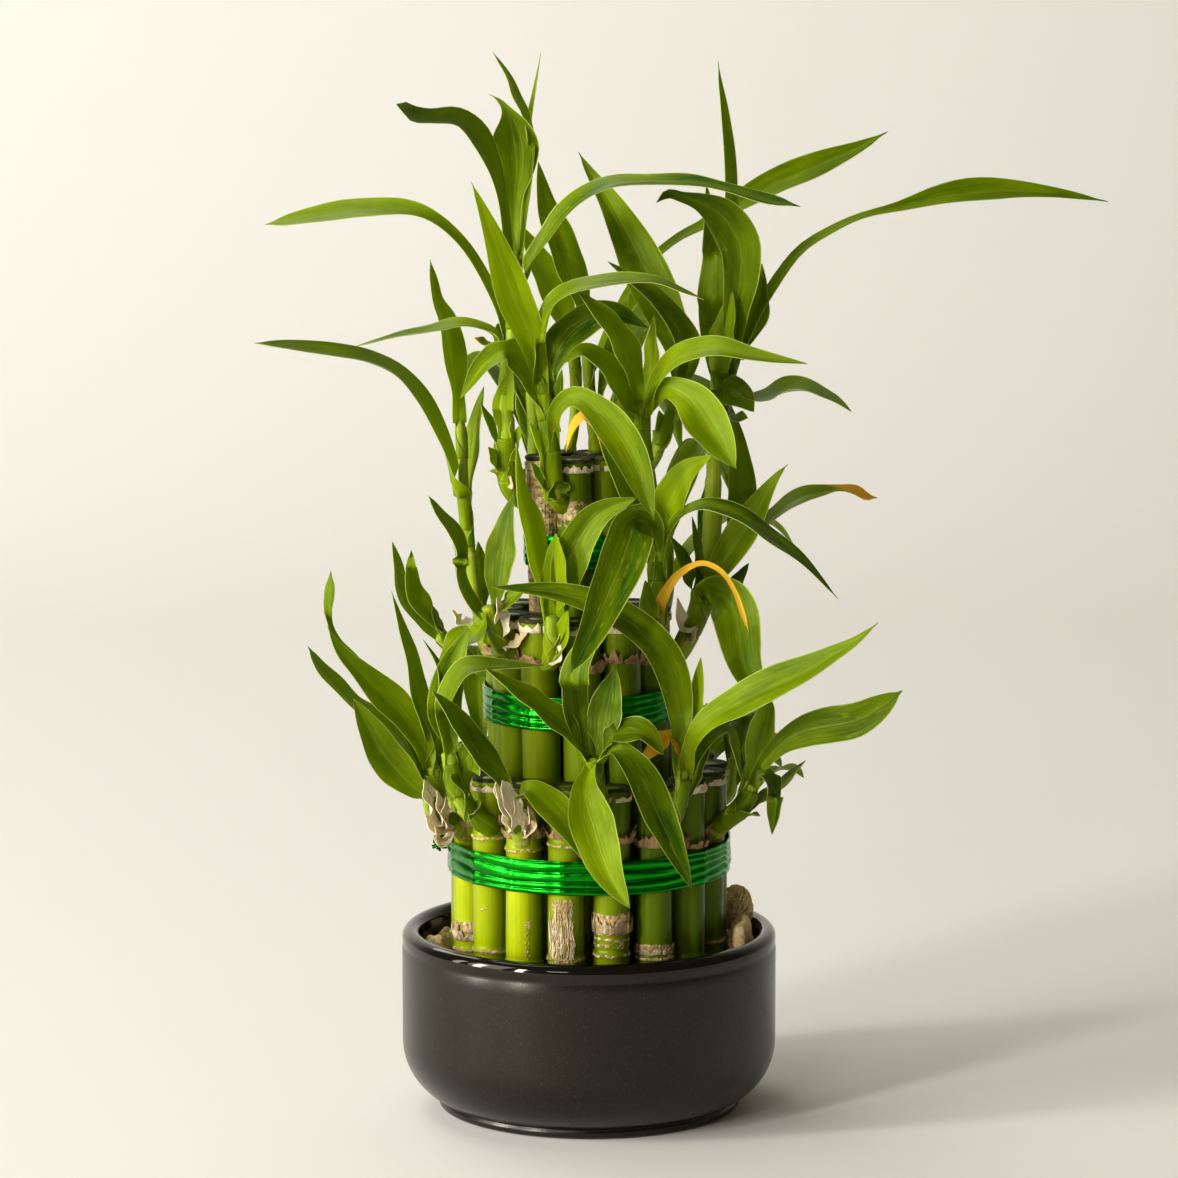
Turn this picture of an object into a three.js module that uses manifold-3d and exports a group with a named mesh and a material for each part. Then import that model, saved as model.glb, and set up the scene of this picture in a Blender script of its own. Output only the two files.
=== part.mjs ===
// A three tier tower of lucky bamboo canes with leafy shoots, tied with foil ribbon, in a low bowl.
// Millimetres, +Z up. The origin is the centre of the bowl's foot, on the surface it stands on.
import * as THREE from 'three';
import { mergeVertices } from 'three/addons/utils/BufferGeometryUtils.js';
import Module from 'manifold-3d';

const wasm = await Module();
wasm.setup();

// Driving dimensions of the bowl
const POT_RADIUS = 65;
const POT_HEIGHT = 63;
const POT_WALL = 6.4;
const POT_FLOOR = 8;
const FOOT_RADIUS = 52.4;
const FOOT_HEIGHT = 3.2;
const CORNER_RADIUS = 22;
const POT_SIDES = 32;
const GAP = 0.35;

// Driving dimensions of the three tiers, from the outside in
const LEAN = 0.023;
const CANE_SIDES = 8;
const TIERS = [
  { name: 'outer', count: 17, ring: 42, radius: 6.3, turn: 10.59, top: 121, nodes: [60, 99.5], lean: 0 },
  { name: 'middle', count: 11, ring: 25.6, radius: 6.8, turn: 2, top: 175.5, nodes: [158], lean: LEAN },
  { name: 'inner', count: 5, ring: 11, radius: 6.2, turn: 0, top: 229, nodes: [209.5], lean: LEAN },
];
const BANDS = [
  { name: 'ribbon_outer', tier: 0, middle: 89.5 },
  { name: 'ribbon_middle', tier: 1, middle: 142.7 },
  { name: 'ribbon_inner', tier: 2, middle: 196 },
];
const BAND_HEIGHT = 11.6;
const BAND_THICKNESS = 1.3;
const BED_TOP = 46;

// Where the tower was seen from: a point in front of it, looking at its middle.
// Paths below are points of that view, in pixels, each with a depth behind the bowl's centre.
const EYE = { distance: 1600, height: 414.9, aim: 181.15, focal: 4693, middle: 589 };
const MM_PER_PIXEL = 0.3446;
const eye = new THREE.Vector3(0, -EYE.distance, EYE.height);
const look = new THREE.Vector3(0, EYE.distance, EYE.aim - EYE.height).normalize();
const up = new THREE.Vector3(0, -look.z, look.y);

function seen(px, py, depth) {
  const ray = look.clone().multiplyScalar(EYE.focal);
  ray.x += px - EYE.middle;
  ray.addScaledVector(up, EYE.middle - py);
  return eye.clone().addScaledVector(ray, (depth + EYE.distance) / ray.y);
}

function randomStream(seed) {
  let state = seed;
  return (low = 0, high = 1) => {
    state = (state * 1664525 + 1013904223) % 4294967296;
    return low + (high - low) * state / 4294967296;
  };
}

// Points nearer than this are one point of a solid
const SAME_POINT = 1e-3;

function solid(positions, triangles) {
  const mesh = new wasm.Mesh({
    numProp: 3,
    vertProperties: new Float32Array(positions.flatMap((p) => [p.x, p.y, p.z])),
    triVerts: new Uint32Array(triangles.flat()),
  });
  return new wasm.Manifold(mesh);
}

function solidFromGeometry(geometry) {
  geometry.deleteAttribute('normal');
  geometry.deleteAttribute('uv');
  const merged = mergeVertices(geometry, SAME_POINT);
  const mesh = new wasm.Mesh({
    numProp: 3,
    vertProperties: new Float32Array(merged.attributes.position.array),
    triVerts: new Uint32Array(merged.index.array),
  });
  return new wasm.Manifold(mesh);
}

function geometryFromSolid(body) {
  const mesh = body.getMesh();
  const geometry = new THREE.BufferGeometry();
  geometry.setAttribute('position', new THREE.BufferAttribute(new Float32Array(mesh.vertProperties), 3));
  geometry.setIndex(new THREE.BufferAttribute(new Uint32Array(mesh.triVerts), 1));
  return geometry;
}

// Pieces fused into one body. A pocket that the fusing seals is filled: its skin is a body apart.
function join(bodies) {
  const fused = bodies.reduce((sum, body) => sum.add(body));
  const whole = solidFromGeometry(geometryFromSolid(fused));
  return whole.decompose().reduce((best, body) => (body.volume() > best.volume() ? body : best));
}

// Rings of equal count joined into one closed skin, with a flat first end and a flat or pointed last end.
// The second half of each ring is split the mirrored way, so that a thin blade's two faces bend alike.
function skin(rings, tip) {
  const sides = rings[0].length;
  const positions = rings.flat();
  const triangles = [];
  rings.slice(1).forEach((ring, k) => {
    for (let i = 0; i < sides; i += 1) {
      const a = k * sides + i;
      const b = k * sides + (i + 1) % sides;
      if (i < sides / 2) {
        triangles.push([a, b, b + sides], [a, b + sides, a + sides]);
      } else {
        triangles.push([a, b, a + sides], [b, b + sides, a + sides]);
      }
    }
  });
  const last = (rings.length - 1) * sides;
  for (let i = 1; i < sides - 1; i += 1) {
    triangles.push([0, i + 1, i]);
  }
  if (tip) {
    positions.push(tip);
    for (let i = 0; i < sides; i += 1) {
      triangles.push([last + i, last + (i + 1) % sides, positions.length - 1]);
    }
  } else {
    for (let i = 1; i < sides - 1; i += 1) {
      triangles.push([last, last + i, last + i + 1]);
    }
  }
  const body = solid(positions, triangles);
  if (body.volume() > 0) {
    return body;
  }
  return solid(positions, triangles.map(([a, b, c]) => [a, c, b]));
}

// A round stem along a path, thinner at its end
function stemSolid(points, thick, thin) {
  const sides = 5;
  const curve = new THREE.CatmullRomCurve3(points, false, 'centripetal');
  const rings = [];
  for (let k = 0; k < points.length; k += 1) {
    const t = k / (points.length - 1);
    const centre = curve.getPointAt(t);
    const along = curve.getTangentAt(t);
    const side = new THREE.Vector3().crossVectors(along, look).normalize();
    const front = new THREE.Vector3().crossVectors(side, along);
    const radius = THREE.MathUtils.lerp(thick, thin, t) / 2;
    const ring = [];
    for (let i = 0; i < sides; i += 1) {
      const angle = 2 * Math.PI * i / sides;
      ring.push(centre.clone()
        .addScaledVector(side, radius * Math.cos(angle))
        .addScaledVector(front, radius * Math.sin(angle)));
    }
    rings.push(ring);
  }
  const tip = curve.getPointAt(1).addScaledVector(curve.getTangentAt(1), thin * 0.7);
  return skin(rings, tip);
}

// A leaf blade along a path: a thin folded strip with a keel, a narrow root and a long point.
// acrossAt gives the direction of its width at a point of the path.
const BLADE_THICKNESS = 1.25;
const FOLD = 0.2;
const ROOT_SHARE = 0.27;

function bladeShape(t, peak) {
  if (t < peak) {
    const rise = t / peak;
    return ROOT_SHARE + (1 - ROOT_SHARE) * rise * rise * (3 - 2 * rise);
  }
  return Math.cos((t - peak) / (1 - peak) * Math.PI / 2) ** 0.8;
}

function bladeSolid(points, width, acrossAt, peak = 0.42) {
  const curve = new THREE.CatmullRomCurve3(points, false, 'centripetal');
  const steps = Math.min(5, Math.max(3, points.length - 1));
  const rings = [];
  for (let k = 0; k < steps; k += 1) {
    const t = k / (steps - 0.35);
    const centre = curve.getPointAt(t);
    const along = curve.getTangentAt(t);
    const across = acrossAt(along, centre, t).projectOnPlane(along).normalize();
    const face = new THREE.Vector3().crossVectors(along, across).normalize();
    const next = curve.getTangentAt(Math.min(1, t + 0.08));
    const turn = Math.abs(next.clone().sub(along).dot(across)) / (0.08 * curve.getLength());
    const half = Math.min(width / 2 * bladeShape(t, peak), 0.7 / Math.max(turn, 1e-3));
    const keel = centre.clone().addScaledVector(face, -FOLD * half);
    rings.push([
      centre.clone().addScaledVector(across, half),
      keel.clone().addScaledVector(face, BLADE_THICKNESS / 2),
      centre.clone().addScaledVector(across, -half),
      keel.clone().addScaledVector(face, -BLADE_THICKNESS / 2),
    ]);
  }
  return skin(rings, curve.getPointAt(1));
}

// The width of a leaf that was seen: square to the sight line, rolled back until it looks as
// narrow as it did, with its upper face turned up
function rolledAcross(roll) {
  return (along, centre) => {
    const sight = centre.clone().sub(eye).normalize();
    const flat = new THREE.Vector3().crossVectors(along, sight).normalize();
    const back = new THREE.Vector3().crossVectors(along, flat).normalize();
    const tries = [roll, -roll].map((angle) => flat.clone()
      .multiplyScalar(Math.cos(angle))
      .addScaledVector(back, Math.sin(angle)));
    const lift = tries.map((across) => {
      const face = new THREE.Vector3().crossVectors(along, across);
      return face.z * (face.dot(sight) < 0 ? 1 : -1);
    });
    return lift[0] >= lift[1] ? tries[0] : tries[1];
  };
}

// Places of the canes
function canePlace(tier, index) {
  const angle = THREE.MathUtils.degToRad(tier.turn + 360 / tier.count * index);
  return { angle, x: tier.ring * Math.sin(angle), y: -tier.ring * Math.cos(angle) };
}

function caneAxis(tier, index, z) {
  const foot = canePlace(tier, index);
  return new THREE.Vector3(foot.x - tier.lean * z, foot.y, z);
}

function caneSolid(tier, index) {
  const random = randomStream(101 + index * 17 + tier.count);
  const top = tier.top + random(-2.5, 2.5);
  const shift = random(-2.5, 2.5);
  const profile = [[tier.radius, POT_FLOOR + GAP]];
  const inFront = canePlace(tier, index).y < 0;
  tier.nodes.filter((node) => node > POT_HEIGHT || inFront).forEach((node) => {
    profile.push([tier.radius, node + shift - 2.4]);
    profile.push([tier.radius + (tier.nodes.length > 1 ? 0.7 : 0.35), node + shift]);
    profile.push([tier.radius, node + shift + 2.2]);
  });
  profile.push([tier.radius, top - 1], [tier.radius - 0.9, top]);
  const rings = profile.map(([radius, z]) => {
    const centre = caneAxis(tier, index, z);
    return Array.from({ length: CANE_SIDES }, (_, i) => {
      const angle = 2 * Math.PI * (i + 0.5) / CANE_SIDES;
      return centre.clone().add(new THREE.Vector3(radius * Math.sin(angle), -radius * Math.cos(angle), 0));
    });
  });
  return skin(rings);
}

// The shoots that were seen. Each grows from one cane: "cane" is its tier and its place in the ring.
// "stem" holds points of the view with their depths; each leaf has a path of points of the view,
// the depths that it runs through, the width that it shows in pixels, and its real width if given.
const SHOOTS = [
  {
    cane: [2, 0], // the middle shoot, low on the front inner cane
    thick: 6.4,
    thin: 4.2,
    stem: [[560, 502, -15], [554, 478, -18], [550, 440, -20], [545, 400, -19], [542, 380, -18]],
    leaves: [
      {
        path: [[543, 395], [535, 340], [522, 300], [510, 265], [491, 218], [471, 181]],
        depth: [-18, -24, -32], seen: 42,
      },
      {
        path: [[547, 420], [534, 385], [520, 358], [504, 349], [484, 362], [460, 399]],
        depth: [-19, -29], seen: 28,
      },
      {
        path: [[541, 385], [540, 322], [553, 291], [586, 278], [629, 275], [703, 299]],
        depth: [-18, -34, -52], seen: 19,
      },
      {
        path: [[546, 402], [551, 362], [570, 331], [597, 315], [618, 313], [648, 328]],
        depth: [-18, -20, -20], seen: 33,
      },
      { path: [[549, 432], [558, 395], [562, 369]], depth: [-20, -22], seen: 11, wide: 7 },
      {
        path: [[550, 450], [555, 412], [574, 396], [600, 412], [628, 450], [655, 522]],
        depth: [-20, -34, -44], seen: 32,
      },
      { path: [[555, 490], [545, 455], [529, 421]], depth: [-18, -24], seen: 14, wide: 8 },
      { path: [[556, 502], [543, 482], [530, 461]], depth: [-16, -24], seen: 11, wide: 6 },
      { path: [[562, 512], [560, 496], [556, 482]], depth: [-17, -22], seen: 24, wide: 9 },
    ],
  },
  {
    cane: [2, 4], // the tall left shoot, on the dry inner cane
    thick: 6.6,
    thin: 3.6,
    stem: [
      [524, 500, -6], [511, 487, -10], [507, 445, -12], [506, 395, -13],
      [511, 345, -11], [515, 290, -9], [516, 255, -8],
    ],
    leaves: [
      {
        path: [[512, 335], [482, 268], [455, 232], [410, 206], [340, 200], [265, 225]],
        depth: [-10, 6, 26], seen: 21,
      },
      {
        path: [[514, 290], [502, 225], [489, 168], [466, 124], [430, 113], [396, 103]],
        depth: [-8, -20, -36], seen: 22,
      },
      {
        path: [[515, 262], [511, 215], [514, 165], [512, 120], [489, 95]],
        depth: [-8, 2, 8], seen: 46, peak: 0.62,
      },
      {
        path: [[516, 255], [526, 185], [527, 127], [508, 80], [492, 51]],
        depth: [-6, 18], seen: 13, wide: 7,
      },
      { path: [[517, 260], [526, 170], [541, 52]], depth: [-6, -2], seen: 7, wide: 5 },
      {
        path: [[516, 290], [533, 245], [567, 200], [620, 177], [705, 181], [800, 207]],
        depth: [-12, -28, -50], seen: 18,
      },
      { path: [[512, 356], [494, 346], [474, 338]], depth: [-12, -16], seen: 14, wide: 8 },
      { path: [[511, 352], [492, 329], [440, 321], [353, 347]], depth: [-11, -8, -5], seen: 13, wide: 9 },
      { path: [[510, 482], [497, 462], [488, 447]], depth: [-13, -18], seen: 17, wide: 8 },
      { path: [[506, 448], [490, 422], [480, 402]], depth: [-13, -10], seen: 11, wide: 7 },
      { path: [[510, 462], [516, 442], [520, 425]], depth: [-13, -16], seen: 9, wide: 6 },
      { path: [[506, 440], [503, 405], [512, 367]], depth: [-15, -17], seen: 20, wide: 8 },
    ],
  },
  {
    cane: [2, 1], // the right leafy fan, on the right inner cane
    thick: 5.6,
    thin: 4,
    stem: [[610, 512, -2], [630, 488, -1], [652, 462, -2], [668, 425, -4], [684, 390, -5]],
    leaves: [
      { path: [[684, 395], [682, 345], [651, 278], [618, 224], [578, 151]], depth: [-5, 4, 20], seen: 45 },
      { path: [[674, 412], [689, 345], [655, 296], [607, 261]], depth: [-6, -16, -14], seen: 25 },
      { path: [[655, 460], [662, 435], [659, 410]], depth: [-2, -6], seen: 20, wide: 8 },
    ],
  },
  {
    cane: [2, 3], // thin shoot behind
    thick: 4.6,
    thin: 3.4,
    stem: [[562, 478, 15], [572, 440, 18], [576, 395, 18], [574, 350, 17], [570, 318, 16]],
    leaves: [
      { path: [[574, 350], [560, 310], [545, 268], [520, 225]], depth: [15, 26, 40], seen: 26 },
      { path: [[571, 325], [590, 300], [575, 250], [538, 161]], depth: [15, 20, 30], seen: 32 },
    ],
  },
  {
    cane: [2, 2], // thin shoot behind, with the long upper right leaf
    thick: 4.6,
    thin: 3.2,
    stem: [[596, 455, 12], [592, 420, 13], [588, 380, 14], [586, 345, 14]],
    leaves: [
      {
        path: [[587, 370], [624, 309], [668, 244], [725, 212], [800, 167], [889, 131]],
        depth: [14, 30, 54], seen: 27, peak: 0.7,
      },
      { path: [[591, 415], [606, 368], [630, 290]], depth: [13, 18], seen: 13, wide: 9 },
    ],
  },
  {
    cane: [1, 2], // the long shoot right of the middle
    thick: 6.2,
    thin: 4.2,
    stem: [
      [656, 655, -13], [657, 610, -18], [656, 560, -19],
      [652, 500, -19], [644, 445, -18], [641, 400, -16],
    ],
    leaves: [
      { path: [[642, 425], [634, 412], [627, 384]], depth: [-18, -18], seen: 20, wide: 9 },
      { path: [[642, 415], [650, 365], [654, 315]], depth: [-16, -15], seen: 16 },
      {
        path: [[641, 430], [620, 380], [600, 358], [582, 350], [563, 364]],
        depth: [-19, -29, -32], seen: 23,
      },
      { path: [[641, 405], [632, 360], [612, 325], [577, 290]], depth: [-18, -27, -32], seen: 24 },
      {
        path: [[642, 420], [655, 378], [676, 353], [712, 343], [755, 348], [808, 364]],
        depth: [-17, -34, -54], seen: 20,
      },
      {
        path: [[644, 415], [664, 388], [688, 397], [712, 430], [737, 470]],
        depth: [-19, -34, -46], seen: 45,
      },
      {
        path: [[655, 548], [634, 497], [607, 452], [588, 421], [561, 449]],
        depth: [-21, -30, -28], seen: 24, peak: 0.3,
      },
      {
        path: [[656, 562], [636, 528], [616, 558], [600, 600], [590, 628], [570, 674]],
        depth: [-20, -48, -62], seen: 40,
      },
      { path: [[656, 560], [664, 515], [684, 474], [712, 455]], depth: [-20, -36], seen: 30 },
      {
        path: [[656, 580], [668, 528], [698, 501], [739, 508], [795, 549], [839, 600]],
        depth: [-21, -38, -48], seen: 18,
      },
      {
        path: [[656, 632], [660, 590], [690, 564], [722, 570], [740, 599], [748, 630]],
        depth: [-20, -40, -48], seen: 9, wide: 4.5,
      },
      { path: [[657, 650], [650, 615], [645, 580]], depth: [-20, -30], seen: 18, wide: 8 },
      { path: [[657, 612], [666, 575], [670, 543]], depth: [-17, -14], seen: 14, wide: 8 },
    ],
  },
  {
    cane: [1, 3], // the right shoot, leaning out
    thick: 7.2,
    thin: 5,
    stem: [
      [672, 660, 2], [690, 632, 1], [704, 595, 0], [711, 545, 0],
      [713, 490, 0], [716, 435, 2], [724, 392, 4], [733, 352, 6],
    ],
    leaves: [
      { path: [[731, 365], [732, 300], [731, 200], [718, 65]], depth: [6, 12], seen: 14, wide: 8 },
      {
        path: [[733, 358], [740, 310], [743, 250], [728, 208], [690, 191], [656, 203]],
        depth: [4, -8, -26], seen: 38,
      },
      { path: [[734, 358], [750, 318], [760, 264]], depth: [10, 14], seen: 24 },
      {
        path: [[733, 358], [757, 300], [800, 242], [874, 207], [968, 180], [1110, 202]],
        depth: [6, 22, 42], seen: 28, peak: 0.66,
      },
      { path: [[724, 395], [721, 345], [733, 291]], depth: [2, 0], seen: 26 },
      { path: [[722, 400], [707, 345], [709, 270], [706, 183]], depth: [7, 11], seen: 24 },
      { path: [[728, 380], [756, 390], [790, 381], [852, 412]], depth: [0, -12, -26], seen: 16 },
      { path: [[722, 402], [740, 378], [765, 400]], depth: [0, -7], seen: 30, wide: 11 },
      { path: [[720, 410], [735, 415], [748, 418]], depth: [-2, -5], seen: 18, wide: 7 },
      { path: [[712, 570], [738, 530], [742, 480], [729, 400]], depth: [6, 12], seen: 28 },
      { path: [[703, 605], [735, 595], [752, 640], [768, 702]], depth: [-6, -24, -36], seen: 38 },
      { path: [[703, 600], [718, 565], [744, 530], [764, 495], [788, 464]], depth: [-5, -14], seen: 33 },
      { path: [[711, 568], [742, 538], [774, 508], [825, 486], [877, 498]], depth: [3, 8, 16], seen: 20 },
      { path: [[704, 605], [730, 590], [749, 563]], depth: [0, 2], seen: 15, wide: 9 },
    ],
  },
  {
    cane: [1, 8], // the slender left shoot
    thick: 5.4,
    thin: 3.4,
    stem: [[490, 650, 3], [478, 610, 2], [470, 560, 3], [466, 520, 4], [463, 470, 5], [461, 420, 5]],
    leaves: [
      { path: [[461, 425], [457, 361], [446, 312], [430, 259]], depth: [5, 12, 22], seen: 31 },
      {
        path: [[465, 495], [443, 435], [424, 393], [390, 362], [327, 341], [253, 343]],
        depth: [3, -12, -34], seen: 20,
      },
      { path: [[466, 512], [475, 455], [486, 385]], depth: [7, 12], seen: 15, wide: 9 },
      { path: [[478, 610], [482, 575], [478, 541]], depth: [5, 9], seen: 20, wide: 9 },
    ],
  },
  {
    cane: [1, 7], // a low shoot at the left, leaning out
    thick: 5,
    thin: 4,
    stem: [[478, 668, 8], [462, 652, 6], [448, 644, 4], [438, 634, 3]],
    leaves: [
      { path: [[440, 640], [415, 608], [392, 543]], depth: [3, 4], seen: 20 },
      { path: [[440, 636], [424, 600], [411, 551]], depth: [0, -4], seen: 22, wide: 9 },
      { path: [[446, 643], [438, 622], [432, 605]], depth: [3, 0], seen: 10, wide: 6 },
    ],
  },
  {
    cane: [1, 9], // a short shoot left of the middle
    thick: 5.6,
    thin: 4.6,
    stem: [[502, 645, -18], [492, 622, -20], [487, 605, -21]],
    leaves: [
      { path: [[490, 612], [499, 570], [506, 530], [515, 491]], depth: [-20, -17], seen: 34 },
      { path: [[488, 615], [470, 590], [448, 548], [428, 497]], depth: [-20, -14], seen: 21 },
      { path: [[492, 616], [508, 600], [526, 588]], depth: [-22, -26], seen: 15, wide: 8 },
      { path: [[488, 610], [478, 628], [458, 640], [438, 668]], depth: [-22, -28], seen: 24 },
    ],
  },
  {
    cane: [1, 10], // the yellow green shoot in front
    thick: 6,
    thin: 4.6,
    stem: [[550, 660, -29], [552, 640, -32], [553, 615, -33]],
    leaves: [
      { path: [[554, 630], [554, 585], [556, 533]], depth: [-33, -34], seen: 26 },
      { path: [[553, 620], [538, 560], [529, 515], [516, 442]], depth: [-31, -28], seen: 25 },
      { path: [[556, 628], [570, 560], [596, 516], [638, 497]], depth: [-32, -36], seen: 36 },
      { path: [[556, 648], [561, 628], [563, 606]], depth: [-32, -36], seen: 13, wide: 7 },
    ],
  },
  {
    cane: [0, 3], // the lower right shoot
    thick: 7,
    thin: 5.4,
    stem: [[714, 829, -15], [726, 820, -18], [744, 803, -20], [754, 782, -21]],
    leaves: [
      {
        path: [[752, 790], [770, 758], [812, 724], [860, 703], [902, 691]],
        depth: [-21, -34, -46], seen: 39,
      },
      { path: [[748, 795], [757, 755], [775, 695]], depth: [-18, -12], seen: 31 },
      { path: [[750, 790], [780, 772], [780, 802], [772, 835]], depth: [-22, -36], seen: 20 },
      { path: [[746, 805], [775, 788], [806, 760]], depth: [-18, -14], seen: 12, wide: 8 },
      { path: [[737, 815], [750, 812], [760, 816]], depth: [-22, -26], seen: 12, wide: 7 },
    ],
  },
  {
    cane: [0, 1], // the shoot right of the front
    thick: 6,
    thin: 4,
    stem: [[662, 840, -40], [674, 818, -43], [681, 795, -44], [683, 768, -44]],
    leaves: [
      {
        path: [[682, 790], [680, 705], [662, 650], [620, 614], [560, 592], [490, 587]],
        depth: [-44, -45, -42], seen: 34,
      },
      {
        path: [[683, 778], [697, 725], [740, 697], [800, 666], [878, 623]],
        depth: [-44, -56, -66], seen: 28,
      },
      { path: [[683, 770], [694, 715], [701, 657]], depth: [-43, -40], seen: 15, wide: 9 },
      { path: [[682, 800], [702, 742], [728, 729], [742, 780]], depth: [-42, -36], seen: 16, wide: 9 },
      { path: [[680, 808], [697, 770], [714, 730]], depth: [-41, -36], seen: 14, wide: 8 },
    ],
  },
  {
    cane: [0, 0], // the front shoot, with the two big hanging leaves
    thick: 6.4,
    thin: 5,
    stem: [[608, 838, -46], [603, 812, -49], [597, 785, -52], [593, 758, -53]],
    leaves: [
      {
        path: [[594, 762], [585, 790], [594, 830], [608, 872], [630, 909]],
        depth: [-56, -68, -76], seen: 44,
      },
      {
        path: [[595, 762], [614, 747], [640, 772], [664, 824], [692, 889]],
        depth: [-54, -62, -68], seen: 32,
      },
      { path: [[594, 758], [612, 733], [644, 731], [664, 755]], depth: [-53, -60], seen: 25 },
      { path: [[594, 758], [604, 715], [616, 668]], depth: [-51, -50], seen: 33 },
      { path: [[593, 762], [570, 729], [535, 700], [485, 668]], depth: [-54, -56], seen: 25 },
      { path: [[593, 758], [577, 715], [577, 665], [607, 618]], depth: [-52, -49], seen: 28 },
    ],
  },
  {
    cane: [0, 15], // the mottled shoot left of the front
    thick: 6,
    thin: 4.4,
    stem: [[522, 842, -40], [515, 822, -42], [508, 800, -44], [504, 786, -44]],
    leaves: [
      {
        path: [[510, 800], [526, 787], [552, 804], [574, 834], [592, 868]],
        depth: [-45, -53, -58], seen: 30,
      },
      { path: [[508, 795], [502, 775], [480, 748], [458, 722], [432, 695]], depth: [-46, -52], seen: 27 },
      { path: [[508, 806], [500, 792], [497, 778]], depth: [-46, -48], seen: 13, wide: 7 },
    ],
  },
  {
    cane: [0, 14], // the rolled shoot at the left
    thick: 7,
    thin: 5.4,
    stem: [[486, 838, -31], [474, 825, -33], [463, 806, -35], [454, 780, -36], [448, 750, -36]],
    leaves: [
      { path: [[449, 760], [444, 712], [452, 668], [468, 628]], depth: [-36, -33], seen: 35 },
      {
        path: [[449, 765], [443, 706], [462, 668], [500, 664], [543, 666]],
        depth: [-38, -44, -44], seen: 18,
      },
      { path: [[449, 765], [435, 700], [423, 638]], depth: [-35, -30], seen: 11, wide: 7 },
      { path: [[462, 800], [465, 770], [470, 737]], depth: [-38, -40], seen: 30 },
      { path: [[468, 820], [474, 812], [480, 800]], depth: [-36, -39], seen: 18, wide: 7 },
    ],
  },
  {
    cane: [0, 13], // the fan at the far left
    thick: 7,
    thin: 4.6,
    stem: [[461, 829, -15], [448, 820, -17], [439, 810, -18], [434, 785, -18], [433, 765, -18]],
    leaves: [
      {
        path: [[434, 775], [390, 702], [348, 655], [330, 620], [331, 570]],
        depth: [-16, -4, 6], seen: 14, wide: 9,
      },
      { path: [[434, 775], [412, 728], [378, 685], [327, 625]], depth: [-20, -25], seen: 35 },
      { path: [[435, 795], [405, 748], [352, 697], [307, 646]], depth: [-18, -15, -11], seen: 17 },
      { path: [[436, 800], [405, 778], [378, 742], [353, 698]], depth: [-23, -33], seen: 38 },
      { path: [[433, 770], [423, 705], [408, 655], [391, 591]], depth: [-18, -14], seen: 25 },
    ],
  },
];

// Shoots at the back, which no view from the front shows: one on each cane named here, by a rule.
// Spread is how far their leaves fan out to the sides: 1 follows the ring of canes, 0 goes straight back.
const BACK_SHOOTS = [
  { tier: 0, places: [4, 5, 6, 7, 8, 9, 10, 11, 12], rise: 24, reach: 60, spread: 0.5 },
  { tier: 1, places: [4, 5, 6], rise: 60, reach: 78, spread: 1 },
  { tier: 2, places: [2, 3], rise: 58, reach: 92, spread: 1 },
];

const ARCH = [[0, 0], [0.25, 0.42], [0.55, 0.62], [0.85, 0.5], [1, 0.3]];

function shootStem(shoot, tier, index) {
  const points = shoot.stem.map(([px, py, depth]) => seen(px, py, depth));
  const low = points[0].z - 2.5;
  points.unshift(caneAxis(tier, index, low));
  return points;
}

function pathWithDepths(path, depth) {
  return path.map(([px, py], k) => {
    const step = k / (path.length - 1) * (depth.length - 1);
    const low = Math.min(Math.floor(step), depth.length - 2);
    return seen(px, py, THREE.MathUtils.lerp(depth[low], depth[low + 1], step - low));
  });
}

function nearestPoint(curve, point) {
  let best = curve.getPointAt(0.2);
  for (let t = 0.2; t <= 1; t += 0.02) {
    const trial = curve.getPointAt(t);
    if (trial.distanceTo(point) < best.distanceTo(point)) {
      best = trial;
    }
  }
  return best;
}

function seenShoot(shoot, tier, index) {
  const stem = shootStem(shoot, tier, index);
  const curve = new THREE.CatmullRomCurve3(stem, false, 'centripetal');
  const leaves = shoot.leaves.map((leaf) => {
    const points = pathWithDepths(leaf.path, leaf.depth);
    points[0] = nearestPoint(curve, points[0]);
    const shown = leaf.seen * MM_PER_PIXEL;
    const width = Math.max(leaf.wide ?? 12.5, shown);
    const roll = Math.acos(Math.min(1, shown / width));
    return bladeSolid(points, width, rolledAcross(roll), leaf.peak);
  });
  return [stemSolid(stem, shoot.thick, shoot.thin), ...leaves];
}

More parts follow.
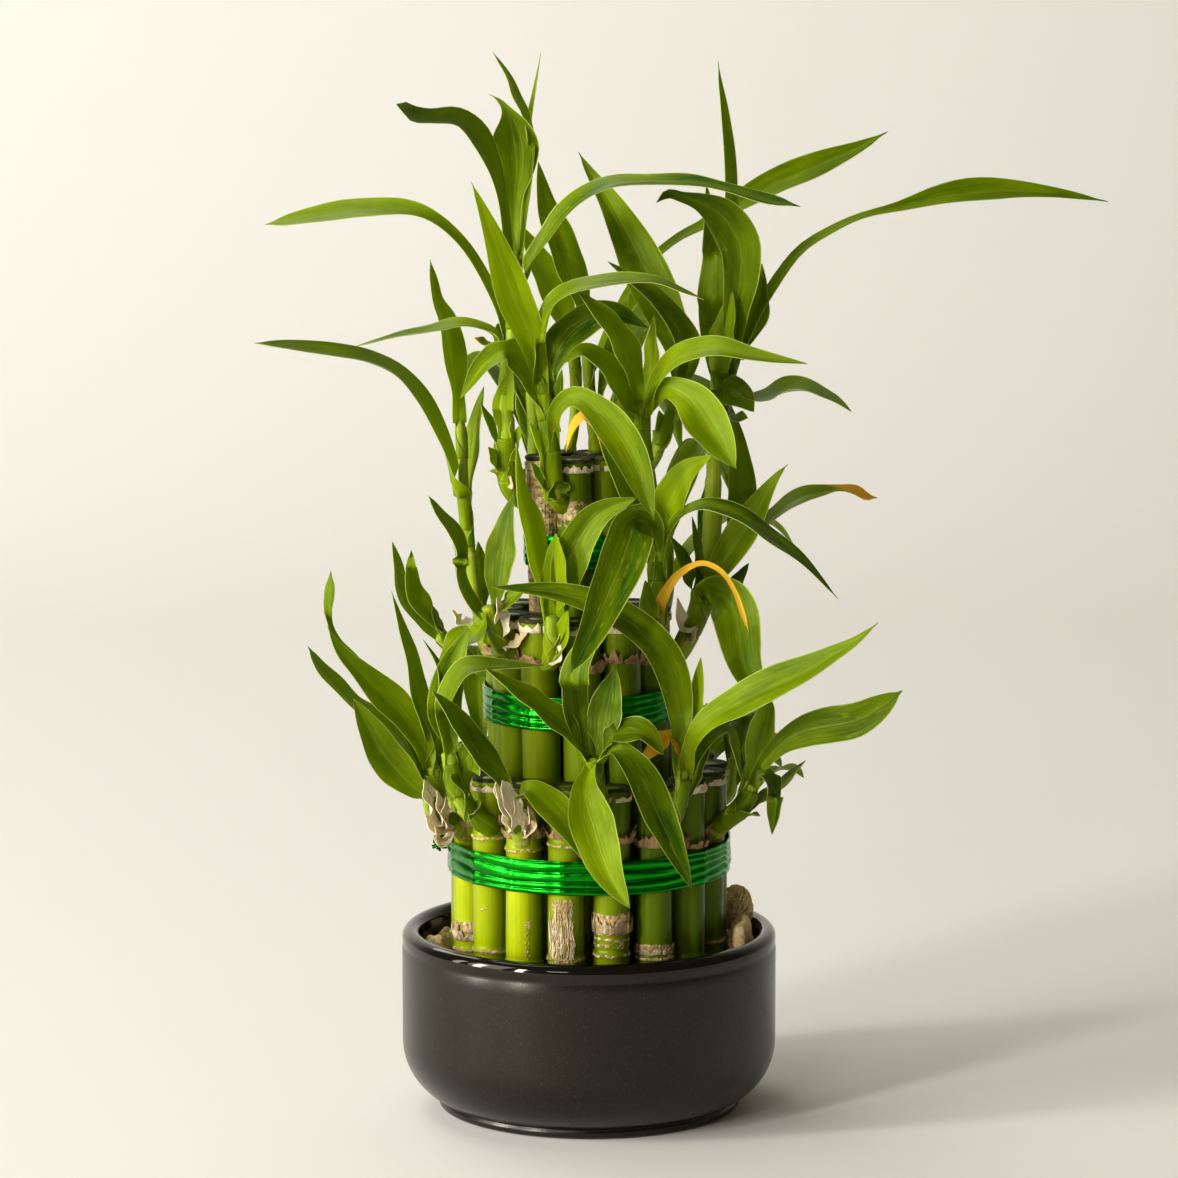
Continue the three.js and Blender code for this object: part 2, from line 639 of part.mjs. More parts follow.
function backShoot(group, tier, index) {
  const random = randomStream(1511 + index * 31 + group.tier * 7);
  const { angle } = canePlace(tier, index);
  const out = new THREE.Vector3(Math.sin(angle), -Math.cos(angle), 0);
  const fan = Math.PI + (angle - Math.PI) * group.spread;
  const rearward = new THREE.Vector3(Math.sin(fan), -Math.cos(fan), 0);
  const root = caneAxis(tier, index, tier.top - random(18, 26));
  const rise = group.rise * random(0.75, 1.15);
  const at = (away, high) => root.clone().addScaledVector(out, away).add(new THREE.Vector3(0, 0, high));
  const stem = [root, at(9, 6), at(13, rise * 0.4), at(14, rise * 0.7), at(15, rise)];
  const curve = new THREE.CatmullRomCurve3(stem, false, 'centripetal');
  const count = 3;
  const leaves = Array.from({ length: count }, (_, k) => {
    const start = curve.getPointAt(0.55 + 0.42 * k / (count - 1));
    const swing = (k % 2 ? 1 : -1) * random(0.12, 0.3) + random(-0.1, 0.1);
    const away = rearward.clone().applyAxisAngle(new THREE.Vector3(0, 0, 1), swing);
    const reach = group.reach * random(0.7, 1.1);
    const climb = 0.55 + 0.6 * k / count;
    const points = ARCH.map(([far, high]) => start.clone()
      .addScaledVector(away, reach * far * (1 - 0.45 * climb))
      .add(new THREE.Vector3(0, 0, reach * high * climb)));
    const tangent = new THREE.Vector3(-away.y, away.x, 0).applyAxisAngle(away, random(-0.35, 0.35));
    return bladeSolid(points, random(11, 14), () => tangent.clone());
  });
  return [stemSolid(stem, 5.4, 4), ...leaves];
}

// Colours
function paint(color, roughness, metalness = 0) {
  return new THREE.MeshStandardMaterial({ color, roughness, metalness });
}

const glaze = paint(0x2b2924, 0.35);
const foil = paint(0x0a9a2c, 0.25, 0.85);
const pebble = paint(0x8a7350, 0.8);
const fibre = paint(0xa38a5c, 0.9);
const dry = paint(0x8a6a45, 0.85);
const TONES = [0x9db81c, 0x6f9a18, 0x5a8a1a];
const DRY_CANE = [2, 4];

const tower = new THREE.Group();

function addNode(name, body, material) {
  const mesh = new THREE.Mesh(geometryFromSolid(body), material);
  mesh.name = name;
  tower.add(mesh);
}

// The bowl: a lathe profile from the axis under the floor, out round the corner, over the lip and in again
function potSolid() {
  const inner = POT_RADIUS - POT_WALL;
  const bead = POT_WALL / 2;
  const points = [[0, 0], [FOOT_RADIUS - 0.6, 0], [FOOT_RADIUS, FOOT_HEIGHT]];
  const from = Math.asin((FOOT_RADIUS - (POT_RADIUS - CORNER_RADIUS)) / CORNER_RADIUS);
  for (let k = 0; k <= 4; k += 1) {
    const angle = THREE.MathUtils.lerp(from, Math.PI / 2, k / 4);
    const radius = POT_RADIUS - CORNER_RADIUS + CORNER_RADIUS * Math.sin(angle);
    const rise = CORNER_RADIUS * (Math.cos(from) - Math.cos(angle));
    points.push([radius, FOOT_HEIGHT + 0.3 + rise]);
  }
  for (let k = 0; k <= 4; k += 1) {
    const angle = Math.PI * k / 4;
    points.push([POT_RADIUS - bead + bead * Math.cos(angle), POT_HEIGHT - bead + bead * Math.sin(angle)]);
  }
  points.push([inner - 0.4, 20], [inner - 2.5, 12], [inner - 8.5, POT_FLOOR], [0, POT_FLOOR]);
  const profile = points.map(([radius, z]) => new THREE.Vector2(radius, z));
  return solidFromGeometry(new THREE.LatheGeometry(profile, POT_SIDES).rotateX(Math.PI / 2));
}

// The gravel: a ring between the canes and the wall, with a lumpy top
function bedSolid() {
  const inside = TIERS[0].ring + TIERS[0].radius + 0.7 + GAP;
  const outside = POT_RADIUS - POT_WALL - 0.4 - 0.6;
  const random = randomStream(57);
  const sides = 26;
  const rings = [];
  for (let k = 0; k < sides; k += 1) {
    const angle = 2 * Math.PI * k / sides;
    const spoke = (radius, z) => new THREE.Vector3(radius * Math.sin(angle), -radius * Math.cos(angle), z);
    rings.push([
      spoke(inside, POT_FLOOR + 0.6),
      spoke(outside - 2.4, POT_FLOOR + 4.4),
      spoke(outside, 23),
      spoke(outside, BED_TOP + random(-3, 1)),
      spoke((inside + outside) / 2, BED_TOP + random(-1, 3)),
      spoke(inside, BED_TOP + random(-2, 2)),
    ]);
  }
  return closedLoop(rings);
}

// Sections joined round into a closed loop
function closedLoop(sections) {
  const sides = sections[0].length;
  const triangles = [];
  sections.forEach((_, k) => {
    const next = (k + 1) % sections.length;
    for (let i = 0; i < sides; i += 1) {
      const j = (i + 1) % sides;
      triangles.push([k * sides + i, k * sides + j, next * sides + j]);
      triangles.push([k * sides + i, next * sides + j, next * sides + i]);
    }
  });
  const body = solid(sections.flat(), triangles);
  if (body.volume() > 0) {
    return body;
  }
  return solid(sections.flat(), triangles.map(([a, b, c]) => [a, c, b]));
}

// A wound ribbon: a band with two grooves, gathered where it passes between two canes
function bandSolid(band) {
  const tier = TIERS[band.tier];
  const swell = 0.35;
  const inside = tier.ring + tier.radius + GAP + swell;
  const sides = tier.count * 2;
  const shift = -tier.lean * band.middle;
  const sections = [];
  for (let k = 0; k < sides; k += 1) {
    const angle = THREE.MathUtils.degToRad(tier.turn) + 2 * Math.PI * k / sides;
    const reach = k % 2 ? inside - 0.25 : inside;
    const spoke = (thick, z) => new THREE.Vector3(
      (reach + thick) * Math.sin(angle) + shift,
      -(reach + thick) * Math.cos(angle),
      band.middle + BAND_HEIGHT * z,
    );
    const wave = k % 2 ? 0.02 : -0.02;
    sections.push([
      spoke(0, -0.5 + wave),
      spoke(BAND_THICKNESS, -0.48 + wave),
      spoke(BAND_THICKNESS * 0.5, -0.16),
      spoke(BAND_THICKNESS, 0),
      spoke(BAND_THICKNESS * 0.5, 0.2),
      spoke(BAND_THICKNESS, 0.48 + wave),
      spoke(0, 0.5 + wave),
    ]);
  }
  return closedLoop(sections);
}

// The crumpled knot and tail of the lowest ribbon, at its left
function knotSolid() {
  const lobe = (points, width) => bladeSolid(points, width, () => new THREE.Vector3(0.4, -0.6, 0.7), 0.5);
  return join([
    lobe([seen(449, 864, 4), seen(443, 852, 5), seen(437, 838, 6)], 8),
    lobe([seen(449, 868, 4), seen(440, 866, 3), seen(435, 876, 2)], 6),
  ]);
}

// A rough stone: twelve faces with their corners moved in and out
function stoneSolid(size, seed) {
  const random = randomStream(seed);
  const geometry = new THREE.DodecahedronGeometry(1);
  geometry.deleteAttribute('normal');
  geometry.deleteAttribute('uv');
  const merged = mergeVertices(geometry, SAME_POINT);
  const corners = merged.attributes.position;
  for (let i = 0; i < corners.count; i += 1) {
    const swell = random(0.84, 1);
    const corner = new THREE.Vector3().fromBufferAttribute(corners, i).multiply(size);
    corners.setXYZ(i, ...corner.multiplyScalar(swell));
  }
  return solidFromGeometry(merged);
}

// Lowers a body in small steps until it rests a hair above what lies below it
function dropOnto(body, below) {
  const step = 0.25;
  let resting = body;
  while (resting.translate([0, 0, -step - GAP]).intersect(below).volume() < 1e-4) {
    resting = resting.translate([0, 0, -step]);
  }
  return resting;
}

addNode('pot', potSolid(), glaze);
const bed = bedSolid();
addNode('gravel_bed', bed, pebble);

// Stones dropped on the gravel, in the middle of the gap between the canes and the wall
const STONE_RING = (TIERS[0].ring + TIERS[0].radius + POT_RADIUS - POT_WALL) / 2 + 0.3;
const STONE_ANGLES = [-112, -84, -40, 0, 40, 78, 106, 138, 176, -148];

function onRing(radius, degrees, z) {
  const angle = THREE.MathUtils.degToRad(degrees);
  return [radius * Math.sin(angle), -radius * Math.cos(angle), z];
}

const stones = [];
STONE_ANGLES.forEach((degrees, k) => {
  const random = randomStream(300 + k);
  const size = new THREE.Vector3(random(6.5, 9), 4.1, random(5, 6.8));
  const body = stoneSolid(size, 40 + k)
    .rotate([random(-4, 4), random(-4, 4), degrees])
    .translate(onRing(STONE_RING, degrees, BED_TOP + 18));
  stones.push(dropOnto(body, bed));
  addNode(`stone_${k + 1}`, stones[k], pebble);
});

// The wad of fibre lies on a stone at the right
const WAD_ANGLE = 106;
const wad = stoneSolid(new THREE.Vector3(5.6, 4.3, 6), 90)
  .rotate([0, 0, WAD_ANGLE])
  .translate(onRing(STONE_RING, WAD_ANGLE, BED_TOP + 40));
const pile = stones.reduce((sum, stone) => sum.add(stone), bed);
addNode('fibre_wad', dropOnto(wad, pile), fibre);

BANDS.forEach((band) => {
  const body = band.tier === 0 ? bandSolid(band).add(knotSolid()) : bandSolid(band);
  addNode(band.name, body, foil);
});

TIERS.forEach((tier, t) => {
  for (let index = 0; index < tier.count; index += 1) {
    const pieces = [caneSolid(tier, index)];
    const shown = SHOOTS.filter((shoot) => shoot.cane[0] === t && shoot.cane[1] === index);
    shown.forEach((shoot) => pieces.push(...seenShoot(shoot, tier, index)));
    const rear = BACK_SHOOTS.filter((group) => group.tier === t && group.places.includes(index));
    rear.forEach((group) => pieces.push(...backShoot(group, tier, index)));
    const isDry = t === DRY_CANE[0] && index === DRY_CANE[1];
    const material = isDry ? dry : paint(TONES[t], 0.45);
    addNode(`${tier.name}_cane_${index + 1}`, join(pieces), material);
  }
});

export default tower;
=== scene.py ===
import math
import bmesh
import bpy
import numpy as np
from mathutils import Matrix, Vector, noise


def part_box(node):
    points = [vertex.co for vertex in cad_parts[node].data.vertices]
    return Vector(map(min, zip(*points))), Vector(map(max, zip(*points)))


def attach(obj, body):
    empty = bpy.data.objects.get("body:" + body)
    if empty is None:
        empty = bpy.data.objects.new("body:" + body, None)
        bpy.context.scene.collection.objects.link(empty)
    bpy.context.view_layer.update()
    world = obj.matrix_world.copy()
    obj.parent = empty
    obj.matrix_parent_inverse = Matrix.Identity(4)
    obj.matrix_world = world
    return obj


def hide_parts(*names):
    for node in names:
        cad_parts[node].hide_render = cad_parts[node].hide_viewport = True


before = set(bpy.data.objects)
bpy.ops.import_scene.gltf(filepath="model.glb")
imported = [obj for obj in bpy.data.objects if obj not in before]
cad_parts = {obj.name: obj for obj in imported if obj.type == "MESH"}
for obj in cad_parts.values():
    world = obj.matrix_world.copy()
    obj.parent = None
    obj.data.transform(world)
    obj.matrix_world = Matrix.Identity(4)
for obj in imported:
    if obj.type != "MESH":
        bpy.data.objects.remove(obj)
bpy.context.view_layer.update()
print("frame loaded")

# Lengths below are millimetres, turned into metres when a mesh is made
metresPerMm = 0.001
viewPoint = {"eye": (0, -1600, 414.9), "aim": (0, 0, 181.15), "focal": 4693, "middle": 589,
             "mmPerPixel": 0.3446}

eye = np.array(viewPoint["eye"], float)
lookAlong = np.array(viewPoint["aim"], float) - eye
lookAlong /= np.linalg.norm(lookAlong)
lookUp = np.array([0, -lookAlong[2], lookAlong[1]])
skyward = np.array([0.0, 0.0, 1.0])
fullTurn = 6.28


def seen(px, py, depth):
    # the point behind pixel px, py of the view, that far behind the middle of the bowl
    ray = lookAlong * viewPoint["focal"] + lookUp * (viewPoint["middle"] - py)
    ray[0] += px - viewPoint["middle"]
    return eye + ray * (depth - eye[1]) / ray[1]


def randomStream(seed):
    state = seed

    def draw(low=0.0, high=1.0):
        nonlocal state
        state = (state * 1664525 + 1013904223) % 4294967296
        return low + (high - low) * state / 4294967296
    return draw


def unit(v):
    return v / max(np.linalg.norm(v), 1e-9)


def mix(a, b, share):
    return a + (b - a) * share


def easeIn(x, low, high):
    u = min(max((x - low) / (high - low), 0.0), 1.0)
    return float(u * u * (3 - 2 * u))


def wander(x, y=0.0, z=0.0):
    # smooth noise from -1 to 1
    return noise.noise(Vector((x, y, z)))


def outward(angle):
    # level, away from the bowl's middle, counted from the front
    return np.array([math.sin(angle), -math.cos(angle), 0])


def squareTo(v, along):
    return unit(v - along * np.dot(v, along))


def angles(sides):
    return np.arange(sides) * 2 * math.pi / sides


# Curves: a smooth line through points, read by its share of length
def smoothCurve(points, perStretch=14):
    points = [np.array(p, float) for p in points]
    full = [2 * points[0] - points[1]] + points + [2 * points[-1] - points[-2]]
    line = []
    for k in range(1, len(full) - 2):
        p0, p1, p2, p3 = full[k - 1:k + 3]
        d0, d1, d2 = (max(np.linalg.norm(b - a), 1e-6) ** 0.5 for a, b in ((p0, p1), (p1, p2), (p2, p3)))
        leave = ((p1 - p0) / d0 - (p2 - p0) / (d0 + d1) + (p2 - p1) / d1) * d1
        arrive = ((p2 - p1) / d1 - (p3 - p1) / (d1 + d2) + (p3 - p2) / d2) * d1
        for j in range(perStretch):
            u = j / perStretch
            line.append((2 * u ** 3 - 3 * u ** 2 + 1) * p1 + (u ** 3 - 2 * u ** 2 + u) * leave
                        + (3 * u ** 2 - 2 * u ** 3) * p2 + (u ** 3 - u ** 2) * arrive)
    line = np.array(line + [points[-1]])
    run = np.concatenate([[0], np.cumsum(np.linalg.norm(np.diff(line, axis=0), axis=1))])
    return {"line": line, "share": run / run[-1], "length": run[-1]}


def pointAt(curve, t):
    return np.array([np.interp(t, curve["share"], curve["line"][:, axis]) for axis in range(3)])


def tangentAt(curve, t, step=0.02):
    return unit(pointAt(curve, min(1, t + step)) - pointAt(curve, max(0, t - step)))


# Meshes: a piece gathers skins of points, then becomes one object.
# Each point carries across, along, tone, dry and seed, which the materials read.
valueNames = ("partAcross", "partAlong", "partTone", "partDry", "partSeed")


def startPiece():
    return {"points": [], "values": [], "rims": [], "faces": [], "looks": []}


def addSkin(piece, rows, values, look, rims=None, looped=False):
    # rows of points joined round into a tube, with its ends closed, or bent round into a loop
    rows = np.array(rows)
    count, sides = rows.shape[:2]
    base = len(piece["points"])
    piece["points"].extend(rows.reshape(-1, 3))
    piece["values"].extend(np.broadcast_to(np.array(values), (count, sides, 5)).reshape(-1, 5))
    piece["rims"].extend(np.zeros(count * sides, int) if rims is None else np.array(rims).reshape(-1))
    faces = []
    for k in range(count if looped else count - 1):
        near, far = base + k * sides, base + (k + 1) % count * sides
        for i in range(sides):
            j = (i + 1) % sides
            faces.append((near + i, near + j, far + j, far + i))
    if not looped:
        for end in (0, count - 1):
            faces.append(tuple(base + end * sides + i for i in range(sides)))
    piece["faces"] += faces
    piece["looks"] += [look] * len(faces)


def finishPiece(piece, name, looks, node):
    mesh = bpy.data.meshes.new(name)
    mesh.from_pydata((np.array(piece["points"]) * metresPerMm).tolist(), [], piece["faces"])
    for look in looks:
        mesh.materials.append(materials[look])
    mesh.polygons.foreach_set("material_index", [looks.index(look) for look in piece["looks"]])
    for column, label in enumerate(valueNames):
        worn = mesh.attributes.new(label, "FLOAT", "POINT")
        worn.data.foreach_set("value", np.array(piece["values"], np.float32)[:, column].copy())
    work = bmesh.new()
    work.from_mesh(mesh)
    bmesh.ops.recalc_face_normals(work, faces=work.faces)
    work.to_mesh(mesh)
    work.free()
    mesh.polygons.foreach_set("use_smooth", [True] * len(mesh.polygons))
    # an edge between two points of one rim is crisp
    ends = np.zeros(len(mesh.edges) * 2, int)
    mesh.edges.foreach_get("vertices", ends)
    rims = np.array(piece["rims"])[ends.reshape(-1, 2)]
    mesh.edges.foreach_set("use_edge_sharp", (rims[:, 0] == rims[:, 1]) & (rims[:, 0] > 0))
    mesh.update()
    shape = bpy.data.objects.new(name, mesh)
    bpy.context.scene.collection.objects.link(shape)
    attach(shape, "root")
    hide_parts(node)


# Shader helpers
def addNode(tree, kind, settings=None, **inputs):
    node = tree.nodes.new(kind)
    for key, value in (settings or {}).items():
        setattr(node, key, value)
    for key, value in inputs.items():
        numbered = key[0] == "i" and key[1:].isdigit()
        socket = node.inputs[int(key[1:]) if numbered else key.replace("_", " ")]
        if isinstance(value, bpy.types.NodeSocket):
            tree.links.new(value, socket)
        else:
            socket.default_value = value
    return node


def calc(tree, operation, a, b=0.0, clamp=False):
    settings = {"operation": operation, "use_clamp": clamp}
    return addNode(tree, "ShaderNodeMath", settings, i0=a, i1=b).outputs[0]


def newGroup(name, inputs, output):
    group = bpy.data.node_groups.new(name, "ShaderNodeTree")
    for label, default in inputs.items():
        socket = group.interface.new_socket(label, in_out="INPUT", socket_type="NodeSocketFloat")
        socket.default_value = default
    group.interface.new_socket(output, in_out="OUTPUT", socket_type="NodeSocketFloat")
    return group, group.nodes.new("NodeGroupInput").outputs, group.nodes.new("NodeGroupOutput").inputs[0]


def noiseMask(group, result, spot, middle, softness, **settings):
    # noise at a spot, turned into a mask with a border that soft
    grain = addNode(group, "ShaderNodeTexNoise", Vector=spot, **settings).outputs[0]
    low, high = (calc(group, operation, middle, softness) for operation in ("SUBTRACT", "ADD"))
    mask = addNode(group, "ShaderNodeMapRange", Value=grain, From_Min=low, From_Max=high).outputs[0]
    group.links.new(mask, result)


def partSpot(group, given, width, length, apart):
    # a place on the piece for noise to read: across it, along it, and apart from other pieces
    places = [calc(group, "MULTIPLY", given[label], by)
              for label, by in (("Across", given[width]), ("Along", given[length]), ("Seed", apart))]
    return addNode(group, "ShaderNodeCombineXYZ", X=places[0], Y=places[1], Z=places[2]).outputs[0]


# Fine lines that run along a leaf, stem or cane
lineGroup, given, result = newGroup(
    "lengthwiseLines",
    {"Across": 0, "Along": 0, "Seed": 0, "Count": 30, "Stretch": 1.5, "Contrast": 0.12}, "Lines")
noiseMask(lineGroup, result, partSpot(lineGroup, given, "Count", "Stretch", 71.0), 0.5, given["Contrast"],
          Scale=1.0, Detail=2.0, Roughness=0.6)

# Blotches and streaks: patches with soft borders, longer than wide
streakGroup, given, result = newGroup(
    "streaks",
    {"Across": 0, "Along": 0, "Seed": 0, "Width": 2.0, "Length": 6.0, "Cover": 0.5, "Softness": 0.1}, "Mask")
noiseMask(streakGroup, result, partSpot(streakGroup, given, "Width", "Length", 53.0),
          calc(streakGroup, "SUBTRACT", 1.0, given["Cover"]), given["Softness"],
          Scale=1.0, Detail=3.0, Roughness=0.62)

# Fine roughness in space, the same on any piece
speckGroup, given, result = newGroup(
    "speckle", {"Size": 400, "Cover": 0.4, "Softness": 0.05, "Detail": 2}, "Mask")
noiseMask(speckGroup, result, addNode(speckGroup, "ShaderNodeTexCoord").outputs["Object"],
          calc(speckGroup, "SUBTRACT", 1.0, given["Cover"]), given["Softness"],
          Scale=given["Size"], Detail=given["Detail"], Roughness=0.6)


# A material in the making: its nodes, what the mesh says at each point, and the steps that all materials use
class Paint:
    def __init__(self, name, readsMesh=True):
        self.material = bpy.data.materials.new(name)
        self.material.use_nodes = True
        self.tree = self.material.node_tree
        self.tree.nodes.clear()
        if readsMesh:
            self.across, self.along, self.tone, self.dry, self.seed = (
                self.node("ShaderNodeAttribute", {"attribute_name": label}).outputs["Fac"]
                for label in valueNames)

    def node(self, kind, settings=None, **inputs):
        return addNode(self.tree, kind, settings, **inputs)

    def lines(self, **settings):
        return self.node("ShaderNodeGroup", {"node_tree": lineGroup}, Across=self.across, Along=self.along,
                         Seed=self.seed, **settings).outputs[0]

    def streaks(self, **settings):
        return self.node("ShaderNodeGroup", {"node_tree": streakGroup}, Across=self.across, Along=self.along,
                         Seed=self.seed, **settings).outputs[0]

    def specks(self, **settings):
        return self.node("ShaderNodeGroup", {"node_tree": speckGroup}, **settings).outputs[0]

    def times(self, a, b):
        return calc(self.tree, "MULTIPLY", a, b)

    def plus(self, a, b, clamp=False):
        return calc(self.tree, "ADD", a, b, clamp)

    def swing(self, mask, by):
        # a mask's way above or below its middle
        return self.times(calc(self.tree, "SUBTRACT", mask, 0.5), by)

    def blend(self, share, a, b, kind="MIX"):
        settings = {"data_type": "RGBA", "blend_type": kind}
        return self.node("ShaderNodeMix", settings, i0=share, i6=a, i7=b).outputs[2]

    def between(self, value, low, high, out=(0.0, 1.0)):
        settings = {"interpolation_type": "SMOOTHSTEP"}
        return self.node("ShaderNodeMapRange", settings, i0=value, i1=low, i2=high, i3=out[0],
                         i4=out[1]).outputs[0]

    def surface(self, colour, roughness, bump=None, specular=None, sheen=None, **others):
        # bump is a height, its strength and distance, specular how strongly it mirrors, sheen in what colour
        if bump:
            height, strength, distance = bump
            bumped = self.node("ShaderNodeBump", Height=height, Strength=strength, Distance=distance)
            others["Normal"] = bumped.outputs[0]
        shader = self.node("ShaderNodeBsdfPrincipled", Base_Color=colour, Roughness=roughness, **others)
        if specular is not None:
            shader.inputs["Specular IOR Level"].default_value = specular
        if sheen is not None:
            shader.inputs["Specular Tint"].default_value = sheen
        return shader

    def done(self, surface, second=None, share=0.5):
        # the surface alone, or with a share of a second shader
        if second:
            surface = self.node("ShaderNodeMixShader", i0=share, i1=surface.outputs[0], i2=second.outputs[0])
        self.node("ShaderNodeOutputMaterial", Surface=surface.outputs[0])
        return self.material


# Leaf blades: glossy, veined, and lit through from behind
leafFinish = {
    "dark": (0.018, 0.064, 0.001, 1), "bright": (0.33, 0.43, 0.001, 1), "edge": (0.62, 0.68, 0.14, 1),
    "streak": (0.50, 0.58, 0.03, 1), "vein": (0.60, 0.72, 0.40, 1), "gold": (0.84, 0.53, 0.035, 1),
    "brown": (0.50, 0.24, 0.03, 1),
    "throughDark": (0.14, 0.30, 0.0, 1), "throughBright": (0.74, 0.85, 0.0, 1),
    "throughGold": (1.0, 0.66, 0.03, 1), "sheen": (0.76, 1.0, 0.18, 1), "roughness": 0.25, "specular": 0.38,
}


def leafMaterial():
    paint = Paint("leafBlade")
    veins = paint.lines(Count=17.0, Stretch=0.7)
    bands = paint.lines(Count=3.6, Stretch=1.1, Contrast=0.22)
    flecks = paint.streaks(Width=5.0, Length=16.0, Cover=0.36, Softness=0.04)
    clouds = paint.streaks(Width=0.8, Length=3.4, Cover=0.5, Softness=0.2)
    shade = paint.plus(paint.swing(clouds, 0.58), paint.swing(bands, 0.14))
    green = paint.blend(paint.plus(paint.tone, shade, True), leafFinish["dark"], leafFinish["bright"])
    green = paint.blend(paint.times(flecks, 0.30), green, leafFinish["streak"])
    green = paint.blend(paint.times(veins, 0.35), green, leafFinish["vein"], "MULTIPLY")
    sideways = calc(paint.tree, "ABSOLUTE", paint.across)
    green = paint.blend(paint.times(paint.between(sideways, 0.93, 0.985), 0.75), green, leafFinish["edge"])
    green = paint.blend(paint.between(sideways, 0.0, 0.06, (0.16, 0.0)), green, leafFinish["edge"])
    withered = paint.blend(paint.times(clouds, 0.35), leafFinish["gold"], leafFinish["brown"])
    ridges = paint.plus(veins, paint.times(bands, 1.4))
    roughness = paint.plus(paint.times(bands, 0.10), leafFinish["roughness"])
    surface = paint.surface(paint.blend(paint.dry, green, withered), roughness, (ridges, 0.28, 0.0003),
                            leafFinish["specular"], leafFinish["sheen"])
    through = paint.blend(paint.tone, leafFinish["throughDark"], leafFinish["throughBright"])
    through = paint.blend(paint.times(veins, 0.4), through, leafFinish["vein"], "MULTIPLY")
    through = paint.blend(paint.dry, through, leafFinish["throughGold"])
    glow = paint.node("ShaderNodeBsdfTranslucent", Color=through)
    return paint.done(surface, glow, paint.between(paint.tone, 0.0, 1.0, (0.25, 0.5)))


# Shoot stems: wrapped in pale sheaths
stemFinish = {"dark": (0.040, 0.10, 0.002, 1), "bright": (0.42, 0.52, 0.004, 1), "rim": (0.52, 0.58, 0.12, 1),
              "dry": (0.50, 0.32, 0.12, 1), "sheen": (0.7, 1.0, 0.2, 1), "roughness": 0.36, "specular": 0.3}


def stemMaterial():
    paint = Paint("shootStem")
    lines = paint.lines(Count=16.0, Stretch=2.0)
    clouds = paint.streaks(Width=1.2, Length=5.0, Cover=0.5, Softness=0.25)
    green = paint.blend(paint.tone, stemFinish["dark"], stemFinish["bright"])
    green = paint.blend(paint.times(clouds, 0.4), green, stemFinish["dark"])
    green = paint.blend(paint.times(lines, 0.25), green, stemFinish["rim"])
    roughness = paint.plus(paint.times(paint.dry, 0.3), stemFinish["roughness"])
    return paint.done(paint.surface(paint.blend(paint.dry, green, stemFinish["dry"]), roughness,
                                    (lines, 0.3, 0.0003), stemFinish["specular"], stemFinish["sheen"]))


# Cane skin: smooth and waxy green, with brown scaly scars where the piece says dry
caneFinish = {"dark": (0.022, 0.062, 0.0, 1), "bright": (0.52, 0.58, 0.002, 1),
              "olive": (0.09, 0.13, 0.001, 1), "scar": (0.50, 0.32, 0.13, 1),
              "scarDark": (0.055, 0.028, 0.010, 1), "pale": (0.72, 0.56, 0.30, 1),
              "sheen": (0.75, 1.0, 0.25, 1), "roughness": 0.30, "specular": 0.3}


def caneMaterial():
    paint = Paint("caneSkin")
    lines = paint.lines(Count=22.0, Stretch=0.8)
    clouds = paint.streaks(Width=1.6, Length=3.2, Cover=0.48, Softness=0.2)
    hoops = paint.streaks(Width=1.4, Length=70.0, Cover=0.5, Softness=0.2)
    specks = paint.specks(Size=800.0, Cover=0.30, Softness=0.02)
    scales = paint.specks(Size=620.0, Cover=0.5, Softness=0.12)
    # the tone holds each cane's own green together with painted light and shade
    green = paint.blend(paint.tone, caneFinish["dark"], caneFinish["bright"])
    for mask, share, stain in ((clouds, 0.34, "olive"), (lines, 0.14, "olive"), (specks, 0.22, "scarDark")):
        green = paint.blend(paint.times(mask, share), green, caneFinish[stain])
    bark = paint.blend(hoops, caneFinish["scarDark"], caneFinish["scar"])
    bark = paint.blend(paint.times(paint.times(scales, lines), 0.8), bark, caneFinish["pale"])
    torn = paint.plus(paint.plus(paint.dry, paint.swing(hoops, 0.45)), paint.swing(scales, 0.35))
    torn = paint.between(torn, 0.44, 0.60)
    height = paint.plus(paint.times(torn, paint.plus(scales, hoops)), paint.times(lines, 0.08))
    roughness = paint.plus(paint.times(torn, 0.4), caneFinish["roughness"])
    return paint.done(paint.surface(paint.blend(torn, green, bark), roughness, (height, 0.6, 0.0006),
                                    caneFinish["specular"], caneFinish["sheen"]))


# Papery remains of old sheaths and the cut edge under the wax
paperFinish = {"pale": (1.0, 0.92, 0.66, 1), "tan": (0.68, 0.42, 0.14, 1), "brown": (0.13, 0.052, 0.010, 1),
               "through": (1.0, 0.84, 0.48, 1), "throughShare": 0.18, "roughness": 0.78}


def paperMaterial():
    paint = Paint("dryPaper")
    lines = paint.lines(Count=14.0, Stretch=1.5)
    patches = paint.specks(Size=260.0, Cover=0.5, Softness=0.14)
    tan = paint.blend(paint.tone, paperFinish["tan"], paperFinish["pale"])
    stain = paint.blend(paint.tone, paperFinish["brown"], paperFinish["tan"])
    worn = paint.times(lines, paint.between(paint.tone, 0.3, 1.0, (0.6, 0.16)))
    colour = paint.blend(worn, tan, stain)
    colour = paint.blend(paint.times(patches, paint.dry), colour, paperFinish["brown"])
    surface = paint.surface(colour, paperFinish["roughness"], (lines, 0.6, 0.0005))
    glow = paint.node("ShaderNodeBsdfTranslucent", Color=paperFinish["through"])
    return paint.done(surface, glow, paperFinish["throughShare"])


# Dark wax on the cut tops
waxFinish = {"dark": (0.020, 0.022, 0.006, 1), "dusty": (0.075, 0.075, 0.025, 1), "roughness": 0.62,
             "specular": 0.1}


